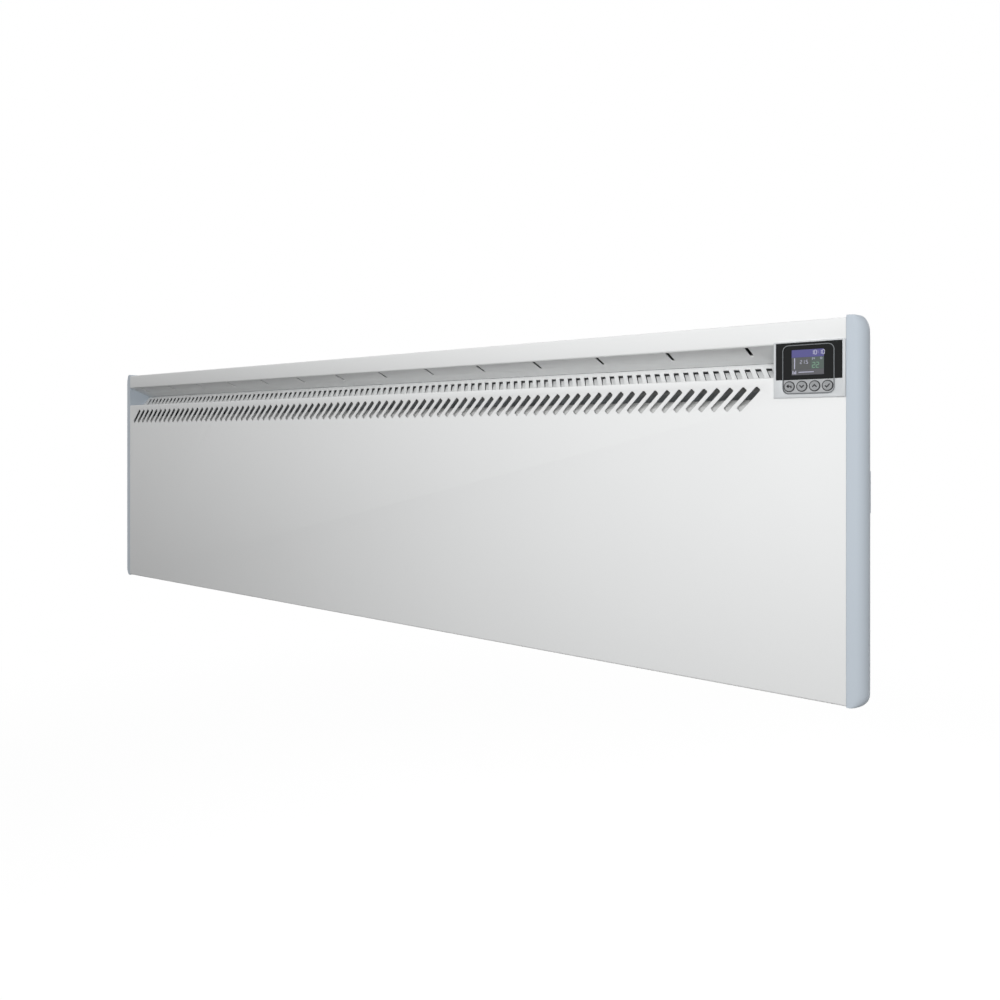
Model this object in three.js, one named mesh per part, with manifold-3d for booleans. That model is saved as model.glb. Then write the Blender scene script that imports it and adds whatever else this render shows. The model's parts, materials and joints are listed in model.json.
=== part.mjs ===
import * as THREE from 'three';
import { mergeVertices } from 'three/addons/utils/BufferGeometryUtils.js';
import Module from 'manifold-3d';

const wasm = await Module();
wasm.setup();

// Millimetres. Inside the heater, x runs across, y runs back from the front face and z runs up from
// the front panel's lower edge. The whole group is then set on its wall mount at the origin.

// Casing
const panelWidth = 1311;
const panelHeight = 385;
const casingDepth = 72;
const sheet = 1.2;
const bendRadius = 1.6;
const clearance = 0.3;
const bottomReturn = 14;
const rearFlange = 14;

// Outlet recess
const hoodStrip = 23.1;
const hoodFall = 15.6;
const recessMouth = 33.8;
const recessDepth = 41;
const shelfDepth = 25;
const grilleFlange = 13;

// Slanted slots in the front panel
const slotPitch = 14.5;
const slotFirst = 97.3;
const slotEndMargin = 17;
const slotLength = 31.6;
const slotWidth = 6.2;
const slotDrop = 21.7;
const slotLean = THREE.MathUtils.degToRad(43.5);
const slotChamfer = 1.1;

// Openings in the sloping outlet band, which lean the other way
const louvrePitch = 12;
const louvreWidth = 6.4;
const louvreShift = 7.8;
const louvreTopMargin = 6.6;
const louvreFootMargin = 2.4;
const louvreEndMargin = 8;

// Cross slits under the hood
const slitPitch = 90.6;
const slitFirst = 101;
const slitWidth = 4.2;
const slitLength = 19.4;
const slitSetback = 2.6;

// Vents in the back panel
const ventPitch = 60;
const ventLength = 30;
const ventWidth = 5;
const ventMargin = 75;
const ventRise = 16.4;

// End caps
const capWidth = 19.2;
const capFlat = 6.6;
const capTaperStart = 12.6;
const capRearWidth = 7.2;
const capRise = 2;
const capDrop = 0.8;
const capWall = 2.4;
const capTopRound = 18;
const capTopNarrow = 0.53;
const capFootRound = 14;
const capFootNarrow = 0.65;
const capPocketFloor = 13;
const capPocketDrop = 8;
const capBossRadius = 4;
const capBossDepths = [14, 50];
const capBossFloor = 40;
const capBossDrop = 43;
const capSteps = 7;
const capRoundSteps = 5;

// End frames, baffle and deflector inside the casing
const frameInset = 7.4;
const frameFlange = 12;
const flangeFloor = 20;
const flangeDrop = 38;
const frameHoleRadius = 12;
const frameHoleFloor = 90;
const frameHoleDrop = 98;
const innerSheet = 0.8;
const baffleDepth = 7;
const baffleBottom = 60;
const baffleDrop = 29;
const baffleLean = 7;
const baffleFoot = 8;
const deflectorRise = 9;
const deflectorBack = 22;
const deflectorReach = 4;

// Air inlet
const inletPitch = 24;
const inletWidth = 8;
const inletLength = 34;
const inletUpstand = 10;

// Heating elements
const elementHeight = 120;
const elementDepth = 40;
const finReach = 25;
const hubRadius = 8;
const finRibs = [[0.48, 5], [0.74, 6]];
const finRibThickness = 1.4;
const finRoot = 1.6;
const finTip = 1;
const finThinning = 0.3;
const rodRadius = 5;
const rodClearance = 0.3;
const rodOverrun = 10;
const elementGap = 18;
const elementLeftMargin = 52.5;
const elementRightMargin = 100.5;
const finSetback = 14;
const bushRadius = 9;
const bushLength = 10;
const bushCollar = 3;
const holderHeight = 72;
const holderFront = 18;
const holderFoot = 14;

// Safety cut-out and room sensor
const cutoutPlace = 200;
const cutoutRise = 38;
const cutoutRadius = 8;
const cutoutBody = 9;
const cutoutFlange = 2.5;
const cutoutFlangeThickness = 1.2;
const cutoutSetback = 3;
const clipWidth = 24;
const sensorMargin = 52.5;
const sensorDepth = 30;
const sensorRadius = 2.4;
const sensorLength = 14;
const sensorRise = 9;
const sensorMouth = 3.2;
const clipBaseHalf = 8;
const clipBaseThickness = 2;
const clipPostHalf = 3;
const clipPostHeight = 12;
const clipHalfDepth = 4;

// Control unit at the right end of the outlet
const unitWidth = 70.2;
const unitHeight = 57.6;
const unitOverlap = 2.1;
const bezelThickness = 1.5;
const windowWidth = 64.6;
const windowHeight = 37.2;
const windowRight = 3.3;
const windowDrop = 1.8;
const glassThickness = 2.2;
const glassRecess = 0.2;
const lcdWidth = 31.9;
const lcdHeight = 26;
const lcdRight = 20.3;
const lcdDrop = 8.8;
const lcdFrame = 3;
const trayWidth = 49.2;
const trayRight = 11.1;
const trayRise = 4.6;
const trayCorner = 5;
const rimWidth = 0.9;
const rimThickness = 0.5;
const housingDepth = 37;
const housingInset = 1.5;
const housingWall = 1.8;
const boardThickness = 1.6;
const boardDepth = 9;
const housingDrop = 2;
const housingPost = 6;
const housingPostRadius = 3;
const housingOutlet = 5;
const keyHalf = 3;
const keyReach = 2;
const keyStem = 1;

// Push buttons
const buttonCount = 4;
const buttonPitch = 12.5;
const buttonRadius = 4.7;
const buttonRise = 6.9;
const buttonProud = 1.3;
const buttonGap = 0.4;
const buttonTravel = 0.8;
const buttonCollar = 0.8;
const collarOverhang = 0.8;
const buttonStem = 1.8;
const buttonEdge = 0.5;

// Mains switch, set in a seat with a raised rim on the right end cap
const rockerDepth = 52;
const rockerHeight = 210;
const rockerSink = 2;
const rockerRim = 4.5;
const rockerRimProud = 0.5;
const rockerFrameWidth = 25;
const rockerFrameHeight = 33;
const rockerFrameProud = 1.2;
const rockerProud = 0.6;
const rockerBodyWidth = 19;
const rockerBodyHeight = 27;
const rockerBodyDepth = 12;
const rockerWidth = 14;
const rockerLength = 20.6;
const rockerPivot = 3;
const rockerTilt = THREE.MathUtils.degToRad(6);
const rockerSwing = 1;
const rockerDish = 1.3;
const rockerRootHalf = 3;
const rockerChamfer = 1;
const rockerBack = 1;
const rockerBackInset = 1.5;
const rockerTipInset = 0.6;

// Mains inlet and power electronics
const glandMargin = 67.5;
const glandHeight = 75;
const glandRadius = 8;
const glandBore = 4;
const glandReach = 14;
const glandNutWidth = 22;
const glandNutThickness = 5;
const glandThread = 2;
const glandHead = 6;
const carrierMargin = 117.5;
const carrierWidth = 130;
const carrierHeight = 90;
const carrierDrop = 20;
const carrierWall = 2;
const carrierLip = 8;
const carrierPost = 3.5;
const tallestPart = 22;
const tracePad = 0.5;
const terminalMargin = 132.5;
const terminalWidth = 52;
const terminalHeight = 18;
const terminalDepth = 19;
const terminalWays = 3;
const terminalWell = 9;
const terminalWellRadius = 3.4;
const terminalPort = 6;

// Wall bracket
const wallGap = 20;
const bracketSheet = 2;
const railLength = 600;
const railWidth = 40;
const railDrop = 129;
const railPitch = 146;
const armInset = 40;
const armWidth = 36;
const armFoot = 48;
const armHead = 9;
const armCorner = 6;
const hookWidth = 20;
const hookRise = 25;
const hookTongue = 10;
const hookPlate = 26;
const footPlate = 22;
const footSetback = 8;
const liftTravel = 12;
const hookPlay = 1;
const hookLanding = 2;
const wallSlotWidth = 7;
const wallSlotLength = 16;
const wallSlotInset = 100;

// Fixing screws through the back panel
const screwMargin = 52.5;
const screwInner = 200;
const screwRadius = 2;
const screwHeadRadius = 4;
const screwHead = 2.4;
const screwLength = 9;
const screwDrop = 8;

const halfWidth = panelWidth / 2;
const hoodEdge = panelHeight - hoodStrip;
const hoodBack = hoodEdge - hoodFall;
const recessFloor = hoodEdge - recessMouth;
const slotHeight = recessFloor - slotDrop;
const upperRail = panelHeight - railDrop;
const lowerRail = upperRail - railPitch;
const hookHeight = upperRail + hookRise;
const armPlace = railLength / 2 - armInset;
const wallSlotPlace = railLength / 2 - wallSlotInset;
const deflectorFoot = hookHeight + hookTongue + deflectorRise;
const baffleTop = recessFloor - baffleDrop;
const cutoutHeight = elementHeight + cutoutRise;
const carrierBottom = deflectorFoot - carrierDrop - carrierHeight;
const elementEnds = [[elementLeftMargin - halfWidth, -elementGap],
  [elementGap, halfWidth - elementRightMargin]];
const screwPlaces = [screwMargin - halfWidth, -screwInner, screwInner, halfWidth - screwMargin];
const sensorPlace = halfWidth - sensorMargin;
const glandPlace = halfWidth - glandMargin;
const carrierPlace = halfWidth - carrierMargin;
const terminalPlace = halfWidth - terminalMargin;
const unitTop = hoodEdge + unitOverlap;
const unitBottom = unitTop - unitHeight;
const windowTop = unitTop - windowDrop;
const lcdTop = unitTop - lcdDrop;
const trayBottom = unitBottom + trayRise;
const buttonHeight = trayBottom + buttonRise;
const unitLeft = halfWidth - clearance - unitWidth;
const housingLeft = unitLeft + housingInset;
const housingRight = halfWidth - housingInset;
const cutoutLeft = housingLeft - clearance;
const frameFace = halfWidth - frameInset;
const framePlane = frameFace - sheet;
const liningWidth = framePlane - clearance;
const panelBack = casingDepth - sheet;
const rearPlane = panelBack - clearance;
const inletTop = 2 * sheet + clearance;
const frontInside = sheet + clearance;

const colours = {
  coat: [0xeceeee, 0.35, 0.05],
  plastic: [0xb9c3cf, 0.45, 0.0],
  galvanised: [0xb5b9bb, 0.4, 0.8],
  aluminium: [0xc4c6c8, 0.35, 0.9],
  steel: [0x8f9498, 0.35, 0.9],
  ceramic: [0xe9e3d6, 0.6, 0.0],
  silver: [0xc9cacc, 0.3, 0.5],
  blackGlass: [0x111214, 0.08, 0.0],
  lcd: [0x74748f, 0.2, 0.0],
  board: [0x1f5a3a, 0.5, 0.0],
  darkPlastic: [0x2a2b2d, 0.5, 0.0],
  whitePlastic: [0xdfe1e1, 0.5, 0.0],
};

const axisX = new THREE.Vector3(1, 0, 0);
const axisY = new THREE.Vector3(0, 1, 0);
const axisZ = new THREE.Vector3(0, 0, 1);

function toSolid(geometry) {
  const bare = geometry.clone();
  bare.deleteAttribute('normal');
  bare.deleteAttribute('uv');
  const merged = mergeVertices(bare, 1e-4);
  return new wasm.Manifold(new wasm.Mesh({
    numProp: 3,
    vertProperties: new Float32Array(merged.getAttribute('position').array),
    triVerts: new Uint32Array(merged.index.array),
  }));
}

function toGeometry(solid) {
  const mesh = solid.getMesh();
  const geometry = new THREE.BufferGeometry();
  geometry.setAttribute('position', new THREE.BufferAttribute(new Float32Array(mesh.vertProperties), 3));
  geometry.setIndex(new THREE.BufferAttribute(new Uint32Array(mesh.triVerts), 1));
  return geometry;
}

function cut(body, ...tools) {
  return toGeometry(tools.reduce((rest, tool) => rest.subtract(toSolid(tool)), toSolid(body)));
}

function join(body, ...more) {
  return toGeometry(more.reduce((whole, piece) => whole.add(toSolid(piece)), toSolid(body)));
}

function shapeOf(points) {
  return new THREE.Shape(points.map(([u, v]) => new THREE.Vector2(u, v)));
}

// A closed outline in (depth, height), drawn out across the heater from x0 to x1.
function prismAcross(shape, x0, x1) {
  const geometry = new THREE.ExtrudeGeometry(shape, { depth: x1 - x0, bevelEnabled: false });
  geometry.applyMatrix4(new THREE.Matrix4().makeBasis(axisY, axisZ, axisX).setPosition(x0, 0, 0));
  return geometry;
}

// A closed outline in (across, height), drawn back from depth d0 to d1.
function prismBack(shape, d0, d1) {
  const geometry = new THREE.ExtrudeGeometry(shape, { depth: d1 - d0, bevelEnabled: false });
  const basis = new THREE.Matrix4().makeBasis(axisX, axisZ, axisY.clone().negate());
  geometry.applyMatrix4(basis.setPosition(0, d1, 0));
  return geometry;
}

// A closed outline in (across, depth), drawn up from z0 to z1.
function prismUp(shape, z0, z1) {
  const geometry = new THREE.ExtrudeGeometry(shape, { depth: z1 - z0, bevelEnabled: false });
  geometry.translate(0, 0, z0);
  return geometry;
}

function block(x0, x1, d0, d1, z0, z1) {
  const geometry = new THREE.BoxGeometry(x1 - x0, d1 - d0, z1 - z0);
  geometry.translate((x0 + x1) / 2, (d0 + d1) / 2, (z0 + z1) / 2);
  return geometry;
}

function rodAcross(x0, x1, radius, depth, height, sides = 16) {
  const geometry = new THREE.CylinderGeometry(radius, radius, x1 - x0, sides);
  geometry.rotateZ(Math.PI / 2);
  geometry.translate((x0 + x1) / 2, depth, height);
  return geometry;
}

function rodBack(d0, d1, radius, x, height, sides = 16) {
  const geometry = new THREE.CylinderGeometry(radius, radius, d1 - d0, sides);
  geometry.translate(x, (d0 + d1) / 2, height);
  return geometry;
}

// Moves an open line sideways, to its left for a positive distance, with mitred corners.
function offsetLine(points, distance) {
  const sides = points.slice(1).map(([u, v], i) => {
    const length = Math.hypot(u - points[i][0], v - points[i][1]);
    return [-(v - points[i][1]) / length, (u - points[i][0]) / length];
  });
  return points.map(([u, v], i) => {
    const a = sides[Math.max(i - 1, 0)];
    const b = sides[Math.min(i, sides.length - 1)];
    const scale = distance / (1 + a[0] * b[0] + a[1] * b[1]);
    return [u + (a[0] + b[0]) * scale, v + (a[1] + b[1]) * scale];
  });
}

// Outline of a folded sheet. The points follow its outer face, with the metal on their left. Each
// bend is an arc of bendRadius on the sheet's middle line.
function foldedSheet(face, thickness = sheet, steps = 3) {
  const middle = offsetLine(face, thickness / 2);
  const left = [];
  const right = [];
  const station = (point, normal) => {
    left.push([point.x + normal.x * thickness / 2, point.y + normal.y * thickness / 2]);
    right.unshift([point.x - normal.x * thickness / 2, point.y - normal.y * thickness / 2]);
  };
  const points = middle.map(([u, v]) => new THREE.Vector2(u, v));
  const normalOf = (a, b) => new THREE.Vector2(a.y - b.y, b.x - a.x).normalize();
  station(points[0], normalOf(points[0], points[1]));
  for (let i = 1; i < points.length - 1; i += 1) {
    const into = normalOf(points[i - 1], points[i]);
    const out = normalOf(points[i], points[i + 1]);
    const turn = Math.atan2(into.cross(out), into.dot(out));
    const side = Math.sign(turn);
    const reach = bendRadius * Math.tan(Math.abs(turn) / 2);
    const start = points[i].clone().sub(points[i - 1]).normalize().multiplyScalar(-reach).add(points[i]);
    const centre = start.clone().addScaledVector(into, side * bendRadius);
    for (let k = 0; k <= steps; k += 1) {
      const normal = into.clone().rotateAround(new THREE.Vector2(), turn * k / steps);
      station(centre.clone().addScaledVector(normal, -side * bendRadius), normal);
    }
  }
  const last = points.length - 1;
  station(points[last], normalOf(points[last - 1], points[last]));
  return shapeOf([...left, ...right]);
}

function rectangle(u0, u1, v0, v1) {
  return shapeOf([[u0, v0], [u1, v0], [u1, v1], [u0, v1]]);
}

// A rectangle whose lower, upper or all corners are round.
function roundedRectangle(u0, u1, v0, v1, lowRadius, topRadius = lowRadius, steps = 3) {
  const corner = (u, v, radius, start) => {
    if (radius === 0) return [[u, v]];
    const turn = Math.PI / 2 / steps;
    const arc = Array.from({ length: steps + 1 }, (_, k) => start + k * turn);
    const cu = u + (u === u0 ? radius : -radius);
    const cv = v + (v === v0 ? radius : -radius);
    return arc.map((a) => [cu + radius * Math.cos(a), cv + radius * Math.sin(a)]);
  };
  return [
    ...corner(u0, v0, lowRadius, Math.PI),
    ...corner(u1, v0, lowRadius, 1.5 * Math.PI),
    ...corner(u1, v1, topRadius, 0),
    ...corner(u0, v1, topRadius, 0.5 * Math.PI),
  ];
}

// Cuts each outer corner of a closed outline back by the same length.
function chamfered(points, length) {
  const turn = Math.sign(THREE.ShapeUtils.area(points.map(([u, v]) => new THREE.Vector2(u, v))));
  return points.flatMap(([u, v], i) => {
    const before = points[(i + points.length - 1) % points.length];
    const after = points[(i + 1) % points.length];
    const bend = (u - before[0]) * (after[1] - v) - (v - before[1]) * (after[0] - u);
    if (Math.sign(bend) !== turn) return [[u, v]];
    return [before, after].map(([pu, pv]) => {
      const share = length / Math.hypot(pu - u, pv - v);
      return [u + (pu - u) * share, v + (pv - v) * share];
    });
  });
}

function circleShape(u, v, radius, sides) {
  const turns = Array.from({ length: sides }, (_, k) => (2 * Math.PI * k) / sides);
  return shapeOf(turns.map((a) => [u + radius * Math.cos(a), v + radius * Math.sin(a)]));
}

// One slanted slot, centred on x, with its long side leaning to the right as it rises.
function slotShape(x) {
  const halfLength = slotLength / 2;
  const halfSlot = slotWidth / 2;
  const c = slotChamfer;
  const local = [
    [-halfSlot + c, -halfLength], [halfSlot - c, -halfLength],
    [halfSlot, -halfLength + c], [halfSlot, halfLength - c],
    [halfSlot - c, halfLength], [-halfSlot + c, halfLength],
    [-halfSlot, halfLength - c], [-halfSlot, -halfLength + c],
  ];
  const sin = Math.sin(slotLean);
  const cos = Math.cos(slotLean);
  return shapeOf(local.map(([u, v]) => [x + u * cos + v * sin, slotHeight - u * sin + v * cos]));
}

function frontPanel() {
  const face = [[shelfDepth - clearance, recessFloor], [0, recessFloor], [0, 0], [bottomReturn, 0]];
  const body = prismAcross(foldedSheet(face), -halfWidth, halfWidth);
  const count = Math.floor((panelWidth - slotFirst - slotEndMargin) / slotPitch) + 1;
  const places = Array.from({ length: count }, (_, k) => halfWidth - slotFirst - k * slotPitch);
  const slots = prismBack(places.map(slotShape), -sheet, 2 * sheet);
  const unitNotch = block(cutoutLeft, halfWidth + 1, -1, shelfDepth + 1,
    unitBottom + housingInset - clearance, recessFloor + 1);
  return cut(body, slots, unitNotch);
}

function topHood() {
  const face = [[rearPlane, panelHeight - rearFlange], [rearPlane, panelHeight], [0, panelHeight],
    [0, hoodEdge], [recessDepth, hoodBack]];
  const body = prismAcross(foldedSheet(face), -halfWidth, halfWidth);
  const slits = [];
  for (let x = halfWidth - slitFirst; x > -halfWidth + slitSetback; x -= slitPitch) {
    slits.push(rectangle(x - slitWidth / 2, x + slitWidth / 2, slitSetback, slitSetback + slitLength));
  }
  const slitTool = prismUp(slits, hoodBack - sheet, hoodEdge + bottomReturn);
  const unitNotch = block(cutoutLeft, halfWidth + 1, -1, recessDepth + 2 * sheet,
    hoodBack - 2 * sheet, unitTop - clearance);
  const screwHoles = screwPlaces.map((x) => rodBack(rearPlane - 2 * sheet, rearPlane + sheet,
    screwRadius + clearance, x, panelHeight - screwDrop, 8));
  return cut(body, slitTool, unitNotch, ...screwHoles);
}

// The sloping band between the shelf and the hood, with its row of leaning openings.
function outletGrille() {
  const run = recessDepth - shelfDepth;
  const rise = hoodBack - recessFloor;
  const slope = Math.hypot(run, rise);
  const topGap = clearance / slope;
  const face = [[recessDepth - run * topGap, hoodBack - rise * topGap], [shelfDepth, recessFloor],
    [shelfDepth, recessFloor - grilleFlange]];
  const body = prismAcross(foldedSheet(face), -halfWidth, cutoutLeft);
  const low = louvreFootMargin;
  const high = slope - louvreTopMargin;
  const holes = [];
  const start = -halfWidth + louvreEndMargin;
  for (let x = start; x + louvrePitch + louvreShift < cutoutLeft; x += louvrePitch) {
    holes.push(shapeOf([[x + louvreShift, low], [x + louvreShift + louvreWidth, low],
      [x + louvreWidth, high], [x, high]]));
  }
  const tool = new THREE.ExtrudeGeometry(holes, { depth: 4 * sheet, bevelEnabled: false });
  tool.translate(0, 0, -2 * sheet);
  tool.rotateX(Math.atan2(rise, run));
  tool.translate(0, shelfDepth, recessFloor);
  return cut(body, tool);
}

function backPanel() {
  const half = frameFace + clearance + sheet;
  const face = [[half, casingDepth - bottomReturn], [half, casingDepth],
    [-half, casingDepth], [-half, casingDepth - bottomReturn]];
  const body = prismUp(foldedSheet(face), sheet + clearance, panelHeight - sheet - clearance);
  const hookHalf = hookWidth / 2 + hookPlay;
  const hookSlots = [-armPlace, armPlace].map((x) => rectangle(x - hookHalf, x + hookHalf,
    hookHeight - liftTravel - bracketSheet - hookLanding, hookHeight + clearance));
  const vents = [];
  const ventFloor = recessFloor + ventRise - ventWidth / 2;
  for (let x = -halfWidth + ventMargin; x < halfWidth - ventMargin - ventLength; x += ventPitch) {
    vents.push(rectangle(x, x + ventLength, ventFloor, ventFloor + ventWidth));
  }
  const screwHoles = screwPlaces.map((x) => circleShape(x, panelHeight - screwDrop,
    screwRadius + clearance, 8));
  const glandHole = circleShape(glandPlace, glandHeight, glandRadius + clearance, 16);
  const tool = prismBack([...hookSlots, ...vents, ...screwHoles, glandHole],
    panelBack - sheet, casingDepth + sheet);
  const hoodNotch = block(-halfWidth, halfWidth, 0, panelBack,
    panelHeight - rearFlange - clearance, panelHeight);
  return cut(body, tool, hoodNotch);
}

// Flat plate at each end that carries the sheets, the lining and the end cap.
function endFrame(side) {
  const lipFoot = recessFloor - grilleFlange - clearance;
  const run = recessDepth - shelfDepth;
  const rise = hoodBack - recessFloor;
  const inner = offsetLine([[recessDepth, hoodBack], [shelfDepth, recessFloor],
    [shelfDepth, lipFoot]], frontInside);
  const roof = offsetLine([[0, panelHeight], [0, hoodEdge], [recessDepth, hoodBack]], frontInside);
  const back = rearPlane - sheet - clearance;
  const past = (clearance + sheet) / Math.hypot(run, rise);
  const outline = [
    [frontInside, inletTop + clearance], [back, inletTop + clearance],
    [back, panelHeight - frontInside], roof[0].map((v, i) => (i === 0 ? v : v - frontInside)),
    roof[1], roof[2], [inner[0][0] + run * past, inner[0][1] + rise * past],
    inner[1], inner[2], [frontInside, lipFoot],
  ];
  const x0 = side > 0 ? framePlane : -frameFace;
  const plate = prismAcross(shapeOf(chamfered(outline, bendRadius / 2)), x0, x0 + sheet);
  const flangeTop = recessFloor - flangeDrop;
  const flange = side > 0
    ? block(framePlane - frameFlange, framePlane + sheet / 2, back - sheet, back, flangeFloor, flangeTop)
    : block(-framePlane - sheet / 2, -framePlane + frameFlange, back - sheet, back, flangeFloor, flangeTop);
  const holes = [frameHoleFloor, recessFloor - frameHoleDrop].map((z) => rodAcross(x0 - 1,
    x0 + sheet + 1, frameHoleRadius, elementDepth, z, 20));
  const tools = [...holes];
  if (side > 0) {
    tools.push(block(cutoutLeft, halfWidth, -1, housingDepth + clearance,
      unitBottom + housingInset - clearance, unitTop));
  }
  const joined = join(plate, flange);
  return cut(joined, ...tools);
}

const capSlope = Math.atan2(capWidth - capRearWidth, casingDepth - capTaperStart);

// Outline of an end cap in plan: a flat front strip, a round corner and a tapering side. The wall
// moves it inwards for the pocket, which then starts from the open face.
function capPlan(side, narrowing, wall = 0) {
  const open = wall > 0 ? -2 * clearance : 0;
  const full = [[open, wall], [capFlat, wall]];
  for (let k = 1; k <= capSteps; k += 1) {
    const a = (Math.PI / 2) * (k / capSteps);
    full.push([capFlat + (capWidth - capFlat - wall) * Math.sin(a),
      capTaperStart - (capTaperStart - wall) * Math.cos(a)]);
  }
  full.push([capRearWidth - wall, casingDepth - wall], [open, casingDepth - wall]);
  return full.map(([x, d]) => [side * (halfWidth + clearance + x * (1 - narrowing)), d]);
}

// How far the side of a cap stands out from its joint at a depth behind the round corner.
function capReach(depth) {
  return capWidth - Math.max(depth - capTaperStart, 0) * Math.tan(capSlope);
}

// Joins equal rings of points, in order from the lowest up, into one closed body.
function loft(rings) {
  const count = rings[0].length;
  const positions = rings.flat(2);
  const index = [];
  const ringFaces = THREE.ShapeUtils.triangulateShape(
    rings[0].map(([x, y]) => new THREE.Vector2(x, y)), []);
  const area = THREE.ShapeUtils.area(rings[0].map(([x, y]) => new THREE.Vector2(x, y)));
  const out = area > 0;
  const face = (a, b, c) => index.push(...(out ? [a, b, c] : [a, c, b]));
  for (let r = 0; r < rings.length - 1; r += 1) {
    for (let k = 0; k < count; k += 1) {
      const a = r * count + k;
      const b = r * count + ((k + 1) % count);
      face(a, b, b + count);
      face(a, b + count, a + count);
    }
  }
  const top = (rings.length - 1) * count;
  ringFaces.forEach(([a, b, c]) => {
    const up = new THREE.Vector2(rings[0][b][0] - rings[0][a][0], rings[0][b][1] - rings[0][a][1])
      .cross(new THREE.Vector2(rings[0][c][0] - rings[0][a][0], rings[0][c][1] - rings[0][a][1])) > 0;
    const [p, q] = up ? [b, c] : [c, b];
    index.push(top + a, top + p, top + q, a, q, p);
  });
  const geometry = new THREE.BufferGeometry();
  geometry.setAttribute('position', new THREE.Float32BufferAttribute(positions, 3));
  geometry.setIndex(index);
  return geometry;
}

// The middle of the switch's seat: x points out of the cap's side, y back along it and z up.
function rockerPlace() {
  return new THREE.Matrix4().makeRotationZ(capSlope).setPosition(
    halfWidth + clearance + capReach(rockerDepth) - rockerSink * Math.cos(capSlope),
    rockerDepth - rockerSink * Math.sin(capSlope), rockerHeight);
}

function rockerBlock(x0, x1, width, height) {
  const body = block(x0, x1, -width / 2, width / 2, -height / 2, height / 2);
  return body.applyMatrix4(rockerPlace());
}

function endCap(side) {
  const bottom = -capDrop;
  const top = panelHeight + capRise;
  const levels = [];
  for (let k = 0; k <= capRoundSteps; k += 1) {
    const turn = (1 - k / capRoundSteps) * Math.PI / 2;
    levels.push([bottom + capFootRound * (1 - Math.sin(turn)), capFootNarrow * (1 - Math.cos(turn))]);
  }
  for (let k = 0; k <= capRoundSteps; k += 1) {
    const turn = k / capRoundSteps * Math.PI / 2;
    levels.push([top - capTopRound * (1 - Math.sin(turn)), capTopNarrow * (1 - Math.cos(turn))]);
  }
  const rings = levels.map(([z, narrowing]) => capPlan(side, narrowing).map(([x, d]) => [x, d, z]));
  const pocket = prismUp(shapeOf(capPlan(side, 0, capWall)), capPocketFloor, recessFloor - capPocketDrop);
  const rear = casingDepth - capWall;
  const x0 = side * (halfWidth - clearance);
  const x1 = side * (halfWidth + clearance + capReach(rear) - capWall);
  const topPocket = block(Math.min(x0, x1), Math.max(x0, x1), recessDepth + capWall, rear,
    recessFloor, panelHeight - capTopRound);
  const bossHeights = [capBossFloor, recessFloor - capBossDrop];
  const bosses = capBossDepths.flatMap((depth) => bossHeights.map((z) => {
    const inner = side * (frameFace + clearance);
    const outer = side * (halfWidth + clearance + capReach(depth + capBossRadius) - capWall / 2);
    return rodAcross(Math.min(inner, outer), Math.max(inner, outer), capBossRadius, depth, z, 12);
  }));
  const solid = join(cut(loft(rings), pocket, topPocket), ...bosses);
  if (side < 0) return solid;
  const rim = rockerBlock(-capWall, rockerSink + rockerRimProud, rockerFrameWidth + 2 * rockerRim,
    rockerFrameHeight + 2 * rockerRim);
  const seat = rockerBlock(0, 2 * capWall, rockerFrameWidth + 2 * clearance,
    rockerFrameHeight + 2 * clearance);
  const window = rockerBlock(-2 * rockerBodyDepth, capWall, rockerBodyWidth + 2 * clearance,
    rockerBodyHeight + 2 * clearance);
  return cut(join(solid, rim), seat, window);
}

function inletGrille() {
  const z = inletTop;
  const face = [[bottomReturn / 2, z - sheet], [rearPlane, z - sheet], [rearPlane, z + inletUpstand]];
  const body = prismAcross(foldedSheet(face), -liningWidth, liningWidth);
  const slots = [];
  const middle = (bottomReturn + rearPlane) / 2;
  const half = Math.floor((liningWidth - inletPitch) / inletPitch);
  for (let k = -half; k <= half; k += 1) {
    const x = k * inletPitch;
    slots.push(rectangle(x - inletWidth / 2, x + inletWidth / 2,
      middle - inletLength / 2, middle + inletLength / 2));
  }
  return cut(body, prismUp(slots, z - 2 * sheet, z + sheet));
}

function frontBaffle() {
  const face = [[baffleDepth + baffleLean, baffleTop + baffleLean], [baffleDepth, baffleTop],
    [baffleDepth, baffleBottom], [baffleDepth + baffleFoot, baffleBottom]];
  const body = prismAcross(foldedSheet(face, innerSheet), -liningWidth, liningWidth);
  return cut(body, block(cutoutLeft - baffleLean, halfWidth, 0, baffleDepth + 2 * baffleLean,
    unitBottom - baffleLean, baffleTop + 2 * baffleLean));
}

function airDeflector() {
  const face = [[rearPlane, deflectorFoot], [rearPlane, deflectorFoot + deflectorBack],
    [recessDepth + deflectorReach, hoodBack + innerSheet + sheet]];
  return prismAcross(foldedSheet(face, innerSheet), -liningWidth, liningWidth);
}

// Cross-section of a finned element: a bored hub with four diagonal arms, each with cross ribs.
function finShape() {
  const arm = [[hubRadius, finRoot]];
  finRibs.forEach(([share, reach]) => {
    const u = finReach * share;
    const end = u + finRibThickness;
    arm.push([u, finRoot], [u, reach], [end, reach], [end, finRoot - finThinning]);
  });
  arm.push([finReach, finTip]);
  const both = [...arm.map(([u, v]) => [u, -v]), ...arm.reverse().map(([u, v]) => [u, v])];
  const outline = [];
  for (let q = 0; q < 4; q += 1) {
    const turn = Math.PI / 4 + q * (Math.PI / 2);
    both.forEach(([u, v]) => outline.push([
      elementDepth + u * Math.cos(turn) - v * Math.sin(turn),
      elementHeight + u * Math.sin(turn) + v * Math.cos(turn),
    ]));
    const hub = turn + Math.PI / 4;
    outline.push([elementDepth + hubRadius * Math.cos(hub), elementHeight + hubRadius * Math.sin(hub)]);
  }
  const shape = shapeOf(outline);
  shape.holes.push(circleShape(elementDepth, elementHeight, rodRadius + rodClearance, 16));
  return shape;
}

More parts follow.
